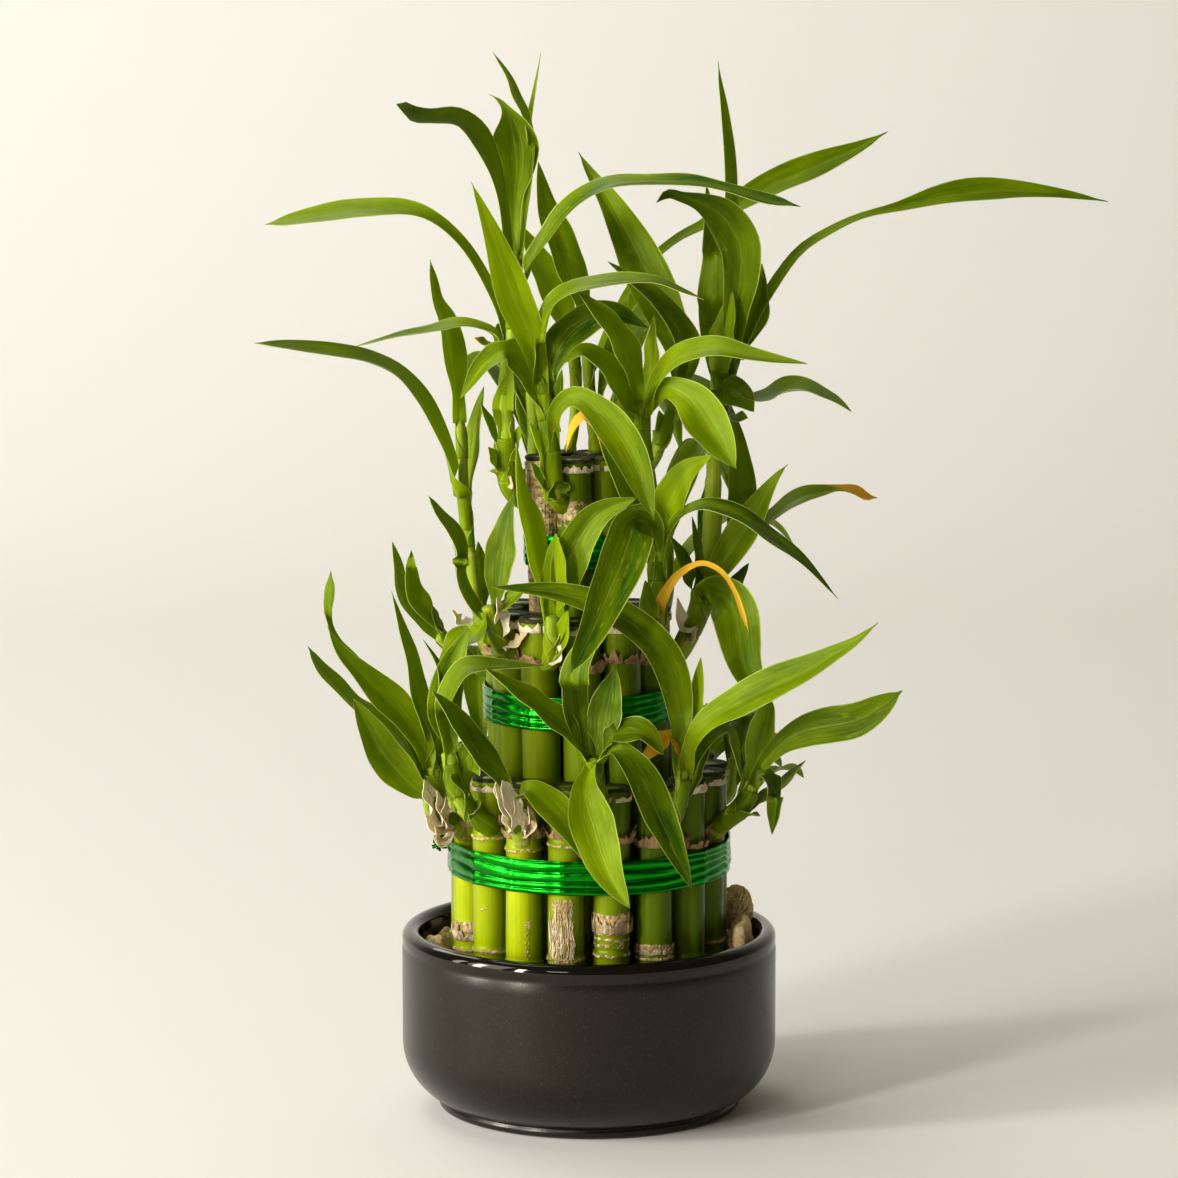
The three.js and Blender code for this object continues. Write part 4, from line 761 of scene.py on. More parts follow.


# Shoots, read from the view: the cane's tier and place, the stem's thickness at its two ends, and its
# line as x, y and depth behind the middle. A leaf has its line as x, y from root to tip, a few depths along
# it, and how wide it looks in pixels
shoots = [
    # the middle shoot, low on the front inner cane
    shoot(2, 0, 6.4, 4.2, [560, 502, -15, 554, 478, -18, 550, 440, -20, 545, 400, -19, 542, 380, -18], [
        leaf([543, 395, 537, 360, 525, 322, 515, 300, 502, 260, 487, 220, 471, 181], [-18, -24, -32], 36,
             0.84, broadFlame),
        leaf([547, 420, 534, 385, 520, 358, 504, 349, 484, 362, 460, 399], [-19, -29], 28, 0.54),
        leaf([541, 385, 540, 335, 550, 303, 570, 288, 600, 280, 630, 278, 660, 281, 684, 291, 705, 300],
             [-18, -34, -52], 13, 0.5, slimArch),
        leaf([546, 402, 551, 362, 570, 331, 597, 315, 618, 313, 648, 328], [-18, -20, -20], 33, 0.26),
        leaf([549, 432, 558, 395, 562, 369], [-20, -22], 11, 0.29, wide=7),
        leaf([550, 450, 555, 412, 574, 396, 600, 412, 628, 450, 655, 522], [-20, -34, -44], 36, 0.5,
             drooping),
        leaf([555, 490, 545, 455, 529, 421], [-18, -24], 14, 0.87, wide=8),
        leaf([556, 502, 543, 482, 530, 461], [-16, -24], 11, 0.58, wide=6),
        leaf([562, 512, 560, 496, 556, 482], [-17, -22], 24, 0.29, wide=9),
    ]),
    # the tall left shoot, on the dry inner cane
    shoot(2, 4, 6.6, 3.6, [524, 500, -6, 511, 487, -10, 507, 445, -12, 506, 395, -13, 511, 345, -11,
          515, 290, -9, 516, 255, -8], [
        leaf([512, 335, 498, 303, 462, 241, 420, 211, 360, 207, 300, 217, 264, 225], [-10, 6, 26], 25, 0.5,
             farPaddle),
        leaf([514, 290, 508, 240, 503, 200, 493, 162, 478, 132, 457, 117, 432, 116, 412, 113, 396, 104],
             [-8, -20, -36], 25, 0.36, bluntPaddle),
        leaf([515, 262, 514, 230, 515, 195, 517, 165, 514, 135, 508, 113, 500, 101, 489, 94], [-8, 0, 4], 47,
             0.4, spoon),
        leaf([516, 255, 527, 190, 531, 140, 526, 115, 517, 97, 510, 78, 492, 51], [-6, 18], 12, 0.6, lance,
             wide=7),
        leaf([517, 260, 524, 190, 529, 120, 534, 92, 541, 52], [4, 14], 5, 0.7, reed, wide=3),
        leaf([516, 290, 526, 262, 545, 234, 562, 211, 585, 192, 612, 181, 650, 179, 690, 180, 725, 187,
             765, 198, 802, 207], [-12, -28, -50], 15, 0.26, longArch),
        leaf([512, 356, 494, 346, 474, 338], [-12, -16], 14, 0.58, wide=8, dry=[(0.75, 0.95)]),
        leaf([511, 352, 497, 333, 480, 325, 458, 322, 425, 329, 395, 335, 353, 347], [-11, -8, -5], 11, 0.5,
             slimArch, wide=9),
        leaf([510, 482, 497, 462, 488, 447], [-13, -18], 17, 0.58, wide=8),
        leaf([506, 448, 490, 422, 480, 402], [-13, -10], 11, wide=7),
        leaf([510, 462, 516, 442, 520, 425], [-13, -16], 9, 0.58, wide=6),
        leaf([506, 440, 503, 405, 512, 367], [-15, -17], 20, 0.75, wide=8),
        paperPiece([513, 497, 508, 486, 511, 476], [-12, -16], 9, 7, 0.6),
    ]),
    # the right leafy fan, on the right inner cane
    shoot(2, 1, 5.6, 4, [610, 512, -2, 630, 488, -1, 652, 462, -2, 668, 425, -4, 684, 390, -5], [
        leaf([684, 395, 680, 355, 668, 320, 650, 280, 631, 240, 609, 200, 589, 170, 578, 151], [-5, 4, 20],
             46, 0.42, broadFlame),
        leaf([674, 412, 689, 345, 655, 296, 607, 261], [-6, -16, -14], 25, 0.41),
        leaf([655, 460, 662, 435, 659, 410], [-2, -6], 20, 0.58, wide=8),
    ]),
    # thin shoot behind
    shoot(2, 3, 4.6, 3.4, [562, 478, 15, 572, 440, 18, 576, 395, 18, 574, 350, 17, 570, 318, 16], [
        leaf([574, 350, 562, 310, 545, 268, 520, 224], [15, 26, 40], 32, 0.6),
        leaf([571, 330, 582, 305, 574, 275, 561, 240, 546, 200, 538, 161], [15, 20, 30], 31),
    ]),
    # thin shoot behind, with the long upper right leaf
    shoot(2, 2, 4.6, 3.2, [596, 455, 12, 592, 420, 13, 588, 380, 14, 586, 345, 14], [
        leaf([587, 370, 610, 325, 632, 285, 655, 256, 680, 236, 703, 224, 740, 201, 780, 179, 820, 162,
             860, 146, 889, 131], [14, 30, 54], 27, 0.5, farBlade),
        leaf([591, 415, 606, 368, 630, 290], [13, 18], 13, wide=9),
    ]),
    # the long shoot right of the middle
    shoot(1, 2, 6.2, 4.2, [656, 655, -13, 657, 610, -18, 656, 560, -19, 652, 500, -19, 644, 445, -18,
          641, 400, -16], [
        leaf([642, 425, 634, 412, 627, 384], [-18, -18], 20, 0.87, wide=9),
        leaf([642, 415, 650, 365, 654, 315], [-16, -15], 16, 0.83),
        leaf([641, 430, 620, 380, 600, 358, 582, 350, 563, 364], [-19, -29, -32], 23, 0.54),
        leaf([641, 405, 632, 360, 612, 325, 577, 290], [-18, -27, -32], 24, 0.58),
        leaf([642, 420, 655, 380, 676, 355, 712, 346, 755, 355, 808, 364], [-17, -34, -54], 20, 0.66),
        leaf([644, 415, 664, 388, 688, 397, 712, 430, 737, 470], [-19, -34, -46], 43, 0.56, drooping),
        leaf([655, 548, 634, 497, 612, 455, 597, 424, 583, 415, 572, 428, 566, 452], [-21, -30, -28], 24,
             0.41, loopTip, dry=[(0.6, 0.7)]),
        leaf([656, 562, 650, 528, 637, 522, 628, 545, 619, 570, 606, 600, 592, 632, 570, 674],
             [-20, -48, -62], 46, 0.23, fullHang),
        leaf([656, 560, 664, 515, 684, 474, 712, 455], [-20, -36], 33, 0.9),
        leaf([656, 580, 664, 540, 680, 514, 705, 503, 740, 514, 770, 534, 800, 557, 839, 600],
             [-21, -38, -48], 17, 0.26, midArch),
        leaf([656, 632, 661, 602, 678, 575, 702, 563, 722, 572, 735, 592, 742, 612, 749, 632],
             [-20, -40, -48], 12, 0.75, curledStrip, wide=4, dry=[(-0.2, -0.1)], bare=True),
        leaf([657, 650, 650, 615, 645, 580], [-20, -30], 18, 0.66, wide=8),
        leaf([657, 612, 666, 575, 670, 543], [-17, -14], 14, 0.66, wide=8),
    ]),
    # the right shoot, leaning out
    shoot(1, 3, 7.2, 5, [672, 660, 2, 690, 632, 1, 704, 595, 0, 711, 545, 0, 713, 490, 0, 716, 435, 2,
          724, 392, 4, 733, 352, 6], [
        leaf([731, 365, 732, 300, 732, 200, 729, 150, 724, 105, 720, 80, 718, 60], [6, 12], 15, 0.5, reed,
             wide=8),
        leaf([735, 358, 736, 310, 741, 275, 740, 245, 724, 218, 703, 203, 682, 197, 668, 194, 656, 203],
             [4, -8, -26], 43, 0.3, hooked),
        leaf([734, 358, 753, 318, 762, 263], [10, 14], 28),
        leaf([733, 358, 752, 322, 770, 290, 800, 250, 830, 230, 860, 216, 900, 206, 940, 195, 975, 189,
             1010, 188, 1060, 193, 1110, 202], [6, 22, 42], 27, 0.5, wandering),
        leaf([724, 395, 721, 345, 733, 291], [2, 0], 26, 0.79),
        leaf([722, 400, 712, 345, 711, 300, 713, 255, 711, 220, 706, 183], [7, 11], 26, 0.45),
        leaf([735, 397, 760, 394, 785, 386, 808, 386, 832, 397, 852, 412], [0, -12, -26], 15, 0.45),
        leaf([706, 402, 722, 389, 740, 395, 754, 412], [0, -7], 32, 0.2, wide=11),
        leaf([720, 410, 735, 415, 748, 418], [-2, -5], 18, 0.29, wide=7),
        leaf([712, 570, 738, 530, 742, 480, 729, 400], [6, 12], 28, 0.45),
        leaf([703, 605, 706, 594, 720, 594, 734, 610, 739, 635, 744, 660, 753, 682, 768, 702], [-6, -24, -36],
             47, 0.4, fullHang),
        leaf([703, 600, 716, 572, 735, 542, 752, 515, 766, 492, 777, 476, 788, 464], [-5, -14], 33, 0.5,
             broadFlame),
        leaf([711, 568, 742, 540, 775, 512, 790, 500, 805, 493, 822, 490, 838, 488, 855, 490, 868, 496,
             878, 498], [3, 8, 16], 16, 0.5, gilded, wide=10, dry=[(0.76, 0.8)]),
        leaf([704, 605, 730, 590, 749, 563], [0, 2], 15, 0.29, wide=9),
        leaf([704, 592, 706, 548, 711, 500, 714, 455], [3, 5], 24, 0.12),
        leaf([703, 605, 692, 580, 682, 556, 670, 536], [-4, -10], 15, 0.35, wide=9),
        leaf([704, 598, 700, 565, 692, 516], [-4, -8], 10, 0.22, wide=7),
        paperPiece([692, 652, 685, 628, 677, 597], [-4, -9], 12, 8, 0.9, 2.0),
        paperPiece([697, 655, 690, 640, 697, 628], [-5, -9], 10, 7, 0.5, 3.0),
    ]),
    # the slender left shoot
    shoot(1, 8, 5.4, 3.4, [490, 650, 3, 478, 610, 2, 470, 560, 3, 466, 520, 4, 463, 470, 5, 461, 420, 5], [
        leaf([461, 425, 458, 390, 455, 345, 448, 320, 438, 300, 434, 280, 430, 259], [5, 12, 22], 25, 0.6,
             bottle),
        leaf([465, 495, 455, 467, 443, 435, 424, 397, 400, 371, 371, 357, 336, 350, 293, 345, 253, 343],
             [3, -12, -34], 15, 0.5, evenBlade),
        leaf([466, 512, 467, 480, 474, 425, 484, 386], [7, 12], 16, 0.58, wide=9),
        leaf([478, 610, 482, 575, 478, 541], [5, 9], 20, 0.58, wide=9),
        paperPiece([474, 628, 463, 622, 452, 610], [1, -3], 10, 7, 0.95, 3.0),
    ]),
    # a low shoot at the left, leaning out
    shoot(1, 7, 5, 4, [478, 668, 8, 462, 652, 6, 448, 644, 4, 438, 634, 3], [
        leaf([440, 640, 418, 615, 402, 585, 398, 565, 392, 541], [3, 4], 17),
        leaf([440, 636, 425, 608, 413, 585, 411, 550], [0, -4], 20, 0.56, wide=9),
        leaf([446, 643, 438, 622, 432, 605], [3, 0], 10, 0.41, wide=6),
    ]),
    # a short shoot left of the middle
    shoot(1, 9, 5.6, 4.6, [502, 645, -18, 492, 622, -20, 487, 605, -21], [
        leaf([490, 612, 496, 590, 499, 560, 503, 535, 508, 512, 515, 491], [-20, -17], 30, 0.29, broadFlame),
        leaf([488, 615, 472, 600, 462, 575, 461, 550, 453, 528, 440, 512, 428, 495], [-20, -14], 14, 0.41,
             evenBlade),
        leaf([492, 616, 508, 600, 526, 588], [-22, -26], 15, wide=8),
        leaf([488, 610, 478, 628, 458, 640, 438, 668], [-22, -28], 24, 0.58),
        paperPiece([505, 640, 502, 618, 497, 597], [-21, -25], 15, 8, 0.95, 2.0),
        paperPiece([524, 652, 518, 640, 528, 632], [-24, -29], 9, 7, 0.5, 2.5),
    ]),
    # the yellow green shoot in front
    shoot(1, 10, 6, 4.6, [550, 660, -29, 552, 640, -32, 553, 615, -33], [
        leaf([554, 630, 554, 585, 556, 533], [-33, -34], 26, 0.87),
        leaf([553, 620, 545, 585, 537, 545, 531, 518, 522, 488, 516, 441], [-31, -28], 24, 0.83, broadFlame),
        leaf([556, 628, 570, 560, 596, 516, 638, 497], [-32, -36], 36),
        leaf([556, 648, 561, 628, 563, 606], [-32, -36], 13, 0.66, wide=7),
        paperPiece([554, 668, 557, 656, 561, 645], [-32, -36], 10, 7, 0.95),
        leaf([559, 665, 560, 640, 568, 610], [-33, -38], 15, 0.95, wide=8),
    ]),
    # the lower right shoot
    shoot(0, 3, 7, 5.4, [714, 829, -15, 726, 820, -18, 744, 803, -20, 754, 782, -21], [
        leaf([752, 790, 762, 765, 780, 745, 805, 731, 830, 725, 855, 720, 878, 708, 903, 690],
             [-21, -34, -46], 38, 0.32, lateBroad),
        leaf([750, 795, 752, 775, 757, 752, 762, 728, 772, 698], [-18, -12], 30, 0.5, lateBroad),
        leaf([750, 790, 758, 775, 768, 772, 774, 788, 774, 810, 772, 835], [-22, -36], 17, 0.22, wide=10),
        leaf([746, 805, 775, 788, 806, 760], [-18, -14], 12, 0.41, wide=8),
        leaf([737, 815, 750, 812, 760, 816], [-22, -26], 12, wide=7),
    ]),
    # the shoot right of the front
    shoot(0, 1, 6, 4, [662, 840, -40, 674, 818, -43, 681, 795, -44, 683, 768, -44], [
        leaf([682, 790, 680, 705, 662, 650, 620, 614, 560, 592, 490, 587], [-44, -45, -42], 34, 0.29),
        leaf([683, 778, 690, 745, 706, 720, 740, 699, 770, 684, 800, 671, 830, 655, 855, 641, 879, 622],
             [-44, -56, -66], 29, 0.44, taperBroad),
        leaf([683, 770, 694, 715, 701, 657], [-43, -40], 15, 0.83, wide=9),
        leaf([683, 774, 681, 742, 668, 736, 652, 750, 637, 767], [-42, -46], 17, 0.6, wide=8,
             dry=[(-0.2, -0.1)], bare=True),
        leaf([682, 800, 702, 742, 728, 729, 742, 780], [-42, -36], 16, wide=9),
        leaf([680, 808, 697, 770, 714, 730], [-41, -36], 14, wide=8),
    ]),
    # the front shoot, with the two big hanging leaves
    shoot(0, 0, 6.4, 5, [608, 838, -46, 603, 812, -49, 597, 785, -52, 593, 758, -53], [
        leaf([594, 762, 585, 790, 594, 830, 608, 872, 630, 909], [-56, -68, -76], 44, 0.66),
        leaf([595, 762, 614, 747, 640, 772, 664, 824, 692, 889], [-54, -62, -68], 32, 0.24),
        leaf([594, 758, 612, 733, 644, 731, 664, 755], [-53, -60], 22, 0.29),
        leaf([594, 758, 604, 715, 616, 668], [-51, -50], 33, 0.24),
        leaf([593, 762, 570, 729, 535, 700, 485, 668], [-54, -56], 25, 0.41),
        leaf([593, 758, 577, 715, 577, 665, 607, 618], [-52, -49], 28, 0.26),
    ]),
    # the mottled shoot left of the front
    shoot(0, 15, 6, 4.4, [522, 842, -40, 515, 822, -42, 508, 800, -44, 504, 786, -44], [
        leaf([510, 800, 526, 787, 552, 804, 574, 834, 592, 868], [-45, -53, -58], 30, 0.62),
        leaf([508, 798, 505, 783, 488, 758, 468, 732, 450, 709, 432, 691], [-46, -52], 24, 0.33),
        paperPiece([508, 806, 500, 792, 497, 778], [-46, -48], 13, 7, 0.92),
        paperPiece([524, 840, 519, 820, 512, 802, 502, 780], [-47, -50], 17, 8, 1, 3.5, outline=evenBlade),
        paperPiece([516, 840, 509, 818, 500, 800], [-46, -50], 14, 7, 0.95, 3.5),
        paperPiece([514, 826, 506, 806, 495, 786], [-48, -51], 13, 7, 1, 3.0),
        paperPiece([520, 836, 519, 815, 514, 796], [-46, -48], 12, 8, 0.9, 2.5),
        paperPiece([540, 838, 532, 822, 528, 806], [-46, -50], 10, 7, 0.6, 2.5),
    ]),
    # the rolled shoot at the left
    shoot(0, 14, 7, 5.4, [488, 825, -31, 476, 817, -33, 463, 803, -35, 454, 780, -36, 448, 750, -36], [
        leaf([449, 760, 444, 712, 452, 668, 468, 628], [-36, -33], 35, 0.41),
        leaf([449, 765, 443, 706, 462, 668, 500, 664, 543, 666], [-38, -44, -44], 18, 0.41),
        leaf([449, 765, 443, 705, 440, 668, 423, 639], [-35, -30], 8, 0.41, wide=6),
        leaf([462, 800, 465, 770, 470, 737], [-38, -40], 30, 0.24),
        leaf([468, 820, 474, 812, 480, 800], [-36, -39], 18, 0.29, wide=7),
    ]),
    # the fan at the far left
    shoot(0, 13, 7, 4.6, [461, 829, -15, 448, 820, -17, 439, 810, -18, 434, 785, -18, 433, 765, -18], [
        leaf([434, 775, 390, 702, 352, 655, 338, 640, 329, 620, 329, 595, 331, 570], [-16, -4, 6], 13, 0.5,
             necked, wide=7),
        leaf([434, 775, 424, 745, 405, 715, 383, 692, 360, 670, 340, 650, 327, 625], [-20, -25], 32, 0.5,
             broadFlame),
        leaf([435, 795, 415, 760, 385, 722, 352, 699, 335, 681, 320, 665, 307, 645], [-18, -15, -11], 15, 0.5,
             evenBlade),
        leaf([436, 802, 420, 792, 402, 775, 385, 755, 370, 728, 353, 698], [-23, -33], 36, 0.4),
        leaf([433, 770, 430, 735, 421, 695, 413, 660, 404, 632, 391, 590], [-18, -14], 18, 0.5, broadFlame),
        paperPiece([448, 836, 438, 818, 431, 800, 424, 779], [-19, -27], 11, 7, 1, 4.0, outline=evenBlade),
        paperPiece([450, 834, 443, 812, 437, 790], [-22, -28], 11, 7, 0.9, 4.0),
        paperPiece([452, 838, 447, 818, 446, 796], [-23, -28], 10, 6, 0.7, 4.0),
        paperPiece([450, 842, 437, 828, 424, 812], [-20, -27], 11, 7, 1, 4.0),
        paperPiece([452, 845, 442, 838, 434, 824], [-22, -29], 10, 7, 0.6, 4.0),
        paperPiece([449, 846, 440, 843, 433, 836], [-21, -27], 9, 6, 0.9, 4.0),
    ]),
]


def bladeHalf(t, outline):
    # the blade's width at t, as a share of its widest place
    if outline:
        shares, widths = np.reshape(outline, (-1, 2)).T / 100
        around = [np.interp(t + d, shares, widths) for d in (-0.04, -0.02, 0, 0.02, 0.04)]
        return float(np.mean(around)) * min(1, (1 - t) * 16) ** 0.7
    if t < bladeShape["peak"]:
        return mix(bladeShape["root"], 1, easeIn(t, 0, bladeShape["peak"]))
    fall = (t - bladeShape["peak"]) / (1 - bladeShape["peak"])
    return max((1 - fall ** 1.9) ** 0.95, 0.0)


def foldedBack(near, far):
    # two sides of a thin sheet, as one closed row
    return near + far[::-1]


def addBlade(piece, curve, width, acrossAt, style, seed, hug=None):
    # hug is the stem that the blade's root wraps: the way across it, and half its width
    draw = randomStream(seed)
    rows, values, rims = [], [], []
    count, columns = bladeShape["rows"], bladeShape["columns"]
    twist = draw(-1, 1) * bladeShape["twist"]
    waves = draw(1.6, 3.2)
    phase, lift = draw(0, fullTurn), draw(0.4, 1.0) * bladeShape["wave"] * style["wave"]
    own = draw()
    for k in range(count):
        t = 0.996 * k / (count - 1)
        centre, along = pointAt(curve, t), tangentAt(curve, t)
        across = acrossAt(along, centre)
        half = max(width / 2 * bladeHalf(t, style["outline"]), 0.12)
        # no wider than a bend allows
        bend = np.linalg.norm(tangentAt(curve, min(1, t + 0.04)) - tangentAt(curve, max(0, t - 0.04)))
        half = min(half, 0.75 * 0.08 * curve["length"] / max(bend, 1e-3))
        fold = bladeShape["fold"] + 0.5 * (1 - easeIn(t, 0.0, 0.22))
        if hug:
            loose = easeIn(t * curve["length"], 0, bladeShape["hold"])
            way = hug["way"] if np.dot(hug["way"], across) > 0 else -hug["way"]
            across = mix(way, across, loose)
            half = max(half, hug["half"] * (1 - loose))
        across = squareTo(across, along)
        face = unit(np.cross(along, across))
        turn = twist * easeIn(t, 0.15, 1.0)
        across, face = (across * math.cos(turn) + face * math.sin(turn),
                        face * math.cos(turn) - across * math.sin(turn))
        upper, lower, marks, rim = [], [], [], []
        for i in range(columns + 1):
            s = math.sin(math.pi / 2 * (2 * i / columns - 1))
            side = 1 if s > 0 else -1
            ripple = lift * math.sin(waves * fullTurn * t + phase + side * 0.9)
            ripple *= s * s * math.sin(math.pi * t)
            ragged = 1 + bladeShape["ragged"] * wander(t * 7 + own * 40, side * 3.0, own * 9)
            sag = -fold * (1 - abs(s) ** 1.08) + ripple
            spot = centre + across * half * s * ragged + face * half * sag
            body = face * bladeShape["thickness"] / 2 * (1 - 0.55 * abs(s)) * min(1, 0.35 + half / 2)
            upper.append(spot + body)
            lower.append(spot - body)
            wither = 0.0
            for begin, end in style["dry"]:
                wither = max(wither, easeIn(t + 0.05 * s, begin, end))
            tone = style["tone"] + 0.16 * (0.55 - t) + 0.14 * math.exp(-(t / 0.12) ** 2)
            marks.append([s, t * curve["length"] / 100, tone, wither, own])
            rim.append(0 if 0 < i < columns else 1 + i // columns)
        rows.append(foldedBack(upper, lower))
        values.append(foldedBack(marks, marks))
        rims.append(foldedBack(rim, rim))
    addSkin(piece, rows, values, style["look"], rims)


def rolledAcross(roll):
    # square to the sight line, rolled back until the leaf looks as narrow as it did, upper face up
    def acrossAt(along, centre):
        sight = unit(centre - eye)
        flat = unit(np.cross(along, sight))
        back = unit(np.cross(along, flat))
        tries = [flat * math.cos(a) + back * math.sin(a) for a in (roll, -roll)]
        lifts = []
        for across in tries:
            face = np.cross(along, across)
            lifts.append(face[2] * (1 if np.dot(face, sight) < 0 else -1))
        return tries[0] if lifts[0] >= lifts[1] else tries[1]
    return acrossAt


# Shoot stems: wrapped in sheaths, each ending in a thin rim just above a leaf
stemShape = {"rows": 64, "sides": 18, "sheath": 11.0, "step": 0.05}


def addStem(piece, curve, thick, thin, seed, tone=0.55):
    rows, values = [], []
    start = randomStream(seed)()
    side = unit(np.cross(tangentAt(curve, 0), lookAlong))
    for t in np.linspace(0, 1, stemShape["rows"]):
        centre, along = pointAt(curve, t), tangentAt(curve, t)
        side = squareTo(side, along)
        front = np.cross(side, along)
        level = t * curve["length"] / stemShape["sheath"] + start
        wrap, share = math.floor(level), level % 1
        radius = mix(thick, thin, t) / 2 * (1 - stemShape["step"] + 2 * stemShape["step"] * share)
        radius *= 1 - 0.75 * max(0, (t - 0.97) / 0.03)
        rim = 0.6 * easeIn(share, 0.90, 0.99) * (1 if wrap * 7 % 3 == 0 else 0.15)
        dry = max(rim, 0.45 * (1 - easeIn(t, 0.02, 0.12)))
        ring, marks = [], []
        for angle in angles(stemShape["sides"]):
            oval = 1 + 0.09 * math.cos(2 * (angle - 2.4 * wrap))
            ring.append(centre + radius * oval * (side * math.cos(angle) + front * math.sin(angle)))
            marks.append([abs(angle / math.pi - 1) * 2 - 1, t * curve["length"] / 60, tone, dry, start])
        rows.append(ring)
        values.append(marks)
    addSkin(piece, rows, values, "stem")


# Leaf sheaths: the rolled foot of a leaf, closed round the stem below and open on one side above
sheathShape = {"rows": 16, "columns": 14, "length": 11.0, "thickness": 0.30, "flare": 0.55, "closed": 172,
               "open": 48}


def addSheath(piece, curve, radiusAt, high, back, tone, seed):
    draw = randomStream(seed)
    low = max(0.03, high - sheathShape["length"] * draw(0.75, 1.3) / curve["length"])
    own = draw()
    proud = draw(0.1, 0.3)
    rows, values, rims = [], [], []
    for u in np.linspace(0, 1, sheathShape["rows"]):
        t = mix(low, high, u)
        centre, along = pointAt(curve, t), tangentAt(curve, t)
        spine = squareTo(back, along)
        side = np.cross(along, spine)
        reach = math.radians(mix(sheathShape["closed"], sheathShape["open"], easeIn(u, 0.15, 1.0) ** 0.8))
        radius = radiusAt(t) + proud + sheathShape["flare"] * u * u
        outer, inner, marks = [], [], []
        for s in np.linspace(-1, 1, sheathShape["columns"] + 1):
            away = spine * math.cos(s * reach) + side * math.sin(s * reach)
            outer.append(centre + away * radius)
            inner.append(centre + away * (radius - sheathShape["thickness"]))
            marks.append([s, u * 0.12, tone + 0.2 * (1 - u), 0.0, own])
        rim = [1] + [0] * (sheathShape["columns"] - 1) + [2]
        rows.append(foldedBack(outer, inner))
        values.append(foldedBack(marks, marks))
        rims.append(foldedBack(rim, rim))
    addSkin(piece, rows, values, "leaf", rims)


# Papery collars: torn rings of old sheath round a cane, in arcs that overlap
def addCollar(piece, axisAt, radius, low, high, seed, tone, brown, flare, arcs):
    draw = randomStream(seed)
    turn = draw(0, fullTurn)
    levels = (0, 0.35, 0.7, 1)
    for arc in range(arcs):
        begin = turn + 2 * math.pi * (arc + draw(-0.1, 0.1)) / arcs
        span = 2 * math.pi / arcs * draw(0.8, 1.15)
        reach = draw(0.55, 1.0)
        proud = radius + 0.12 + 0.10 * arc
        count = max(8, int(40 / arcs))
        own = draw()
        rows, values = [], []
        for share in np.linspace(0, 1, count + 1):
            angle = begin + span * share
            rag = 0.5 + 0.5 * wander(angle * 3.1, seed * 0.37, arc * 5.0)
            rag += 0.35 * wander(angle * 9, seed * 0.7, arc)
            spike = 0.5 * max(0.0, wander(angle * 6.5, seed * 0.9, arc * 3.0)) ** 0.5
            topZ = low + (high - low) * reach * min(max(rag * 1.2 + spike, 0.2), 1.3)
            lowZ = low - 0.4 + 0.3 * wander(angle * 4, seed * 1.3, 7)
            lean = flare * (0.4 + 0.6 * wander(angle * 2.2, seed, 3) ** 2)
            outer = [axisAt(mix(lowZ, topZ, u)) + outward(angle) * (proud + lean * u * u) for u in levels]
            marks = [[2 * share - 1, u * 0.1, tone, brown, own] for u in levels]
            rows.append(foldedBack(outer, [p - outward(angle) * 0.22 for p in outer]))
            values.append(foldedBack(marks, marks))
        addSkin(piece, rows, values, "paper")


# Loose fibres left on a cane, drawn out along it: from and to, and the middle and half width of the patch
looseFibres = {"cane": "outer_cane_17", "low": 56, "high": 79, "facing": -14, "reach": 42, "count": 90,
               "steps": 9}


def addFibres(piece, tier, index):
    draw = randomStream(2203 + index)
    low, high, reach = looseFibres["low"], looseFibres["high"], looseFibres["reach"]
    for k in range(looseFibres["count"]):
        begin = math.radians(looseFibres["facing"] + draw(-reach, reach))
        lean, curl = draw(-0.16, 0.16), draw(-0.05, 0.05)
        start, span = mix(low, high, draw(0, 0.6)), draw(4, 12)
        line = []
        for t in np.linspace(0, 1, looseFibres["steps"]):
            angle = begin + lean * t + curl * math.sin(9 * t)
            z = min(start + span * t, high + 2)
            proud = tier["radius"] + 0.12 + 0.5 * draw(0, 1) * t * t
            line.append(caneAxis(tier, index, z) + outward(angle) * proud)
        radii = draw(0.10, 0.22) * np.sin(np.linspace(0.3, 2.8, looseFibres["steps"]))
        addSkin(piece, tubeAlong(line, radii, 4), (0, 0.3 * k, draw(0.1, 1), draw(0.1, 0.9), draw()), "paper")


# Canes. Scars are bands of old bark: from, to, how strong, and the middle and half width of a patch.
# Collars are torn rings besides those at the top and a node: how far off the cane, from, to, seed, tone,
# brown, flare and arcs
caneShape = {"sides": 36, "steps": 52, "foot": 8.4, "swell": 0.5, "waxDepth": 1.0}
# Each cane's tone is partly its own green and partly painted light and shade: lighter for canes on the left,
# towards the light, and darker for canes on the right
caneTonesAndPaintedLight = {
    "outer": [0.25, 0.14, 0.12, 0.12, 0.3, 0.4, 0.5, 0.35, 0.45, 0.4, 0.5, 0.4, 0.5, 0.8, 0.62, 0.8, 0.42],
    "middle": [0.32, 0.22, 0.16, 0.16, 0.3, 0.3, 0.3, 0.3, 0.32, 0.34, 0.42],
    "inner": [0.16, 0.3, 0.3, 0.3, 0.3],
}
collarLift = {"outer_cane_14": 5, "outer_cane_15": 5.5, "outer_cane_16": 5, "outer_cane_17": 3.5}
scars = {
    "outer_cane_14": [(61, 68, 1.0, None)],
    "outer_cane_17": [(56, 82, 0.9, (-14, 46))],
    "outer_cane_1": [(69.5, 77, 1.0, None), (64, 69, 0.45, None)],
    "outer_cane_2": [(61.5, 65, 0.9, None)],
    "outer_cane_16": [(60, 74, 0.62, (12, 12))],
    "outer_cane_15": [(70, 76, 0.3, (-20, 20))],
    "inner_cane_5": [(100, 240, 0.95, None)],
    "inner_cane_1": [(204, 214, 0.8, None)],
}
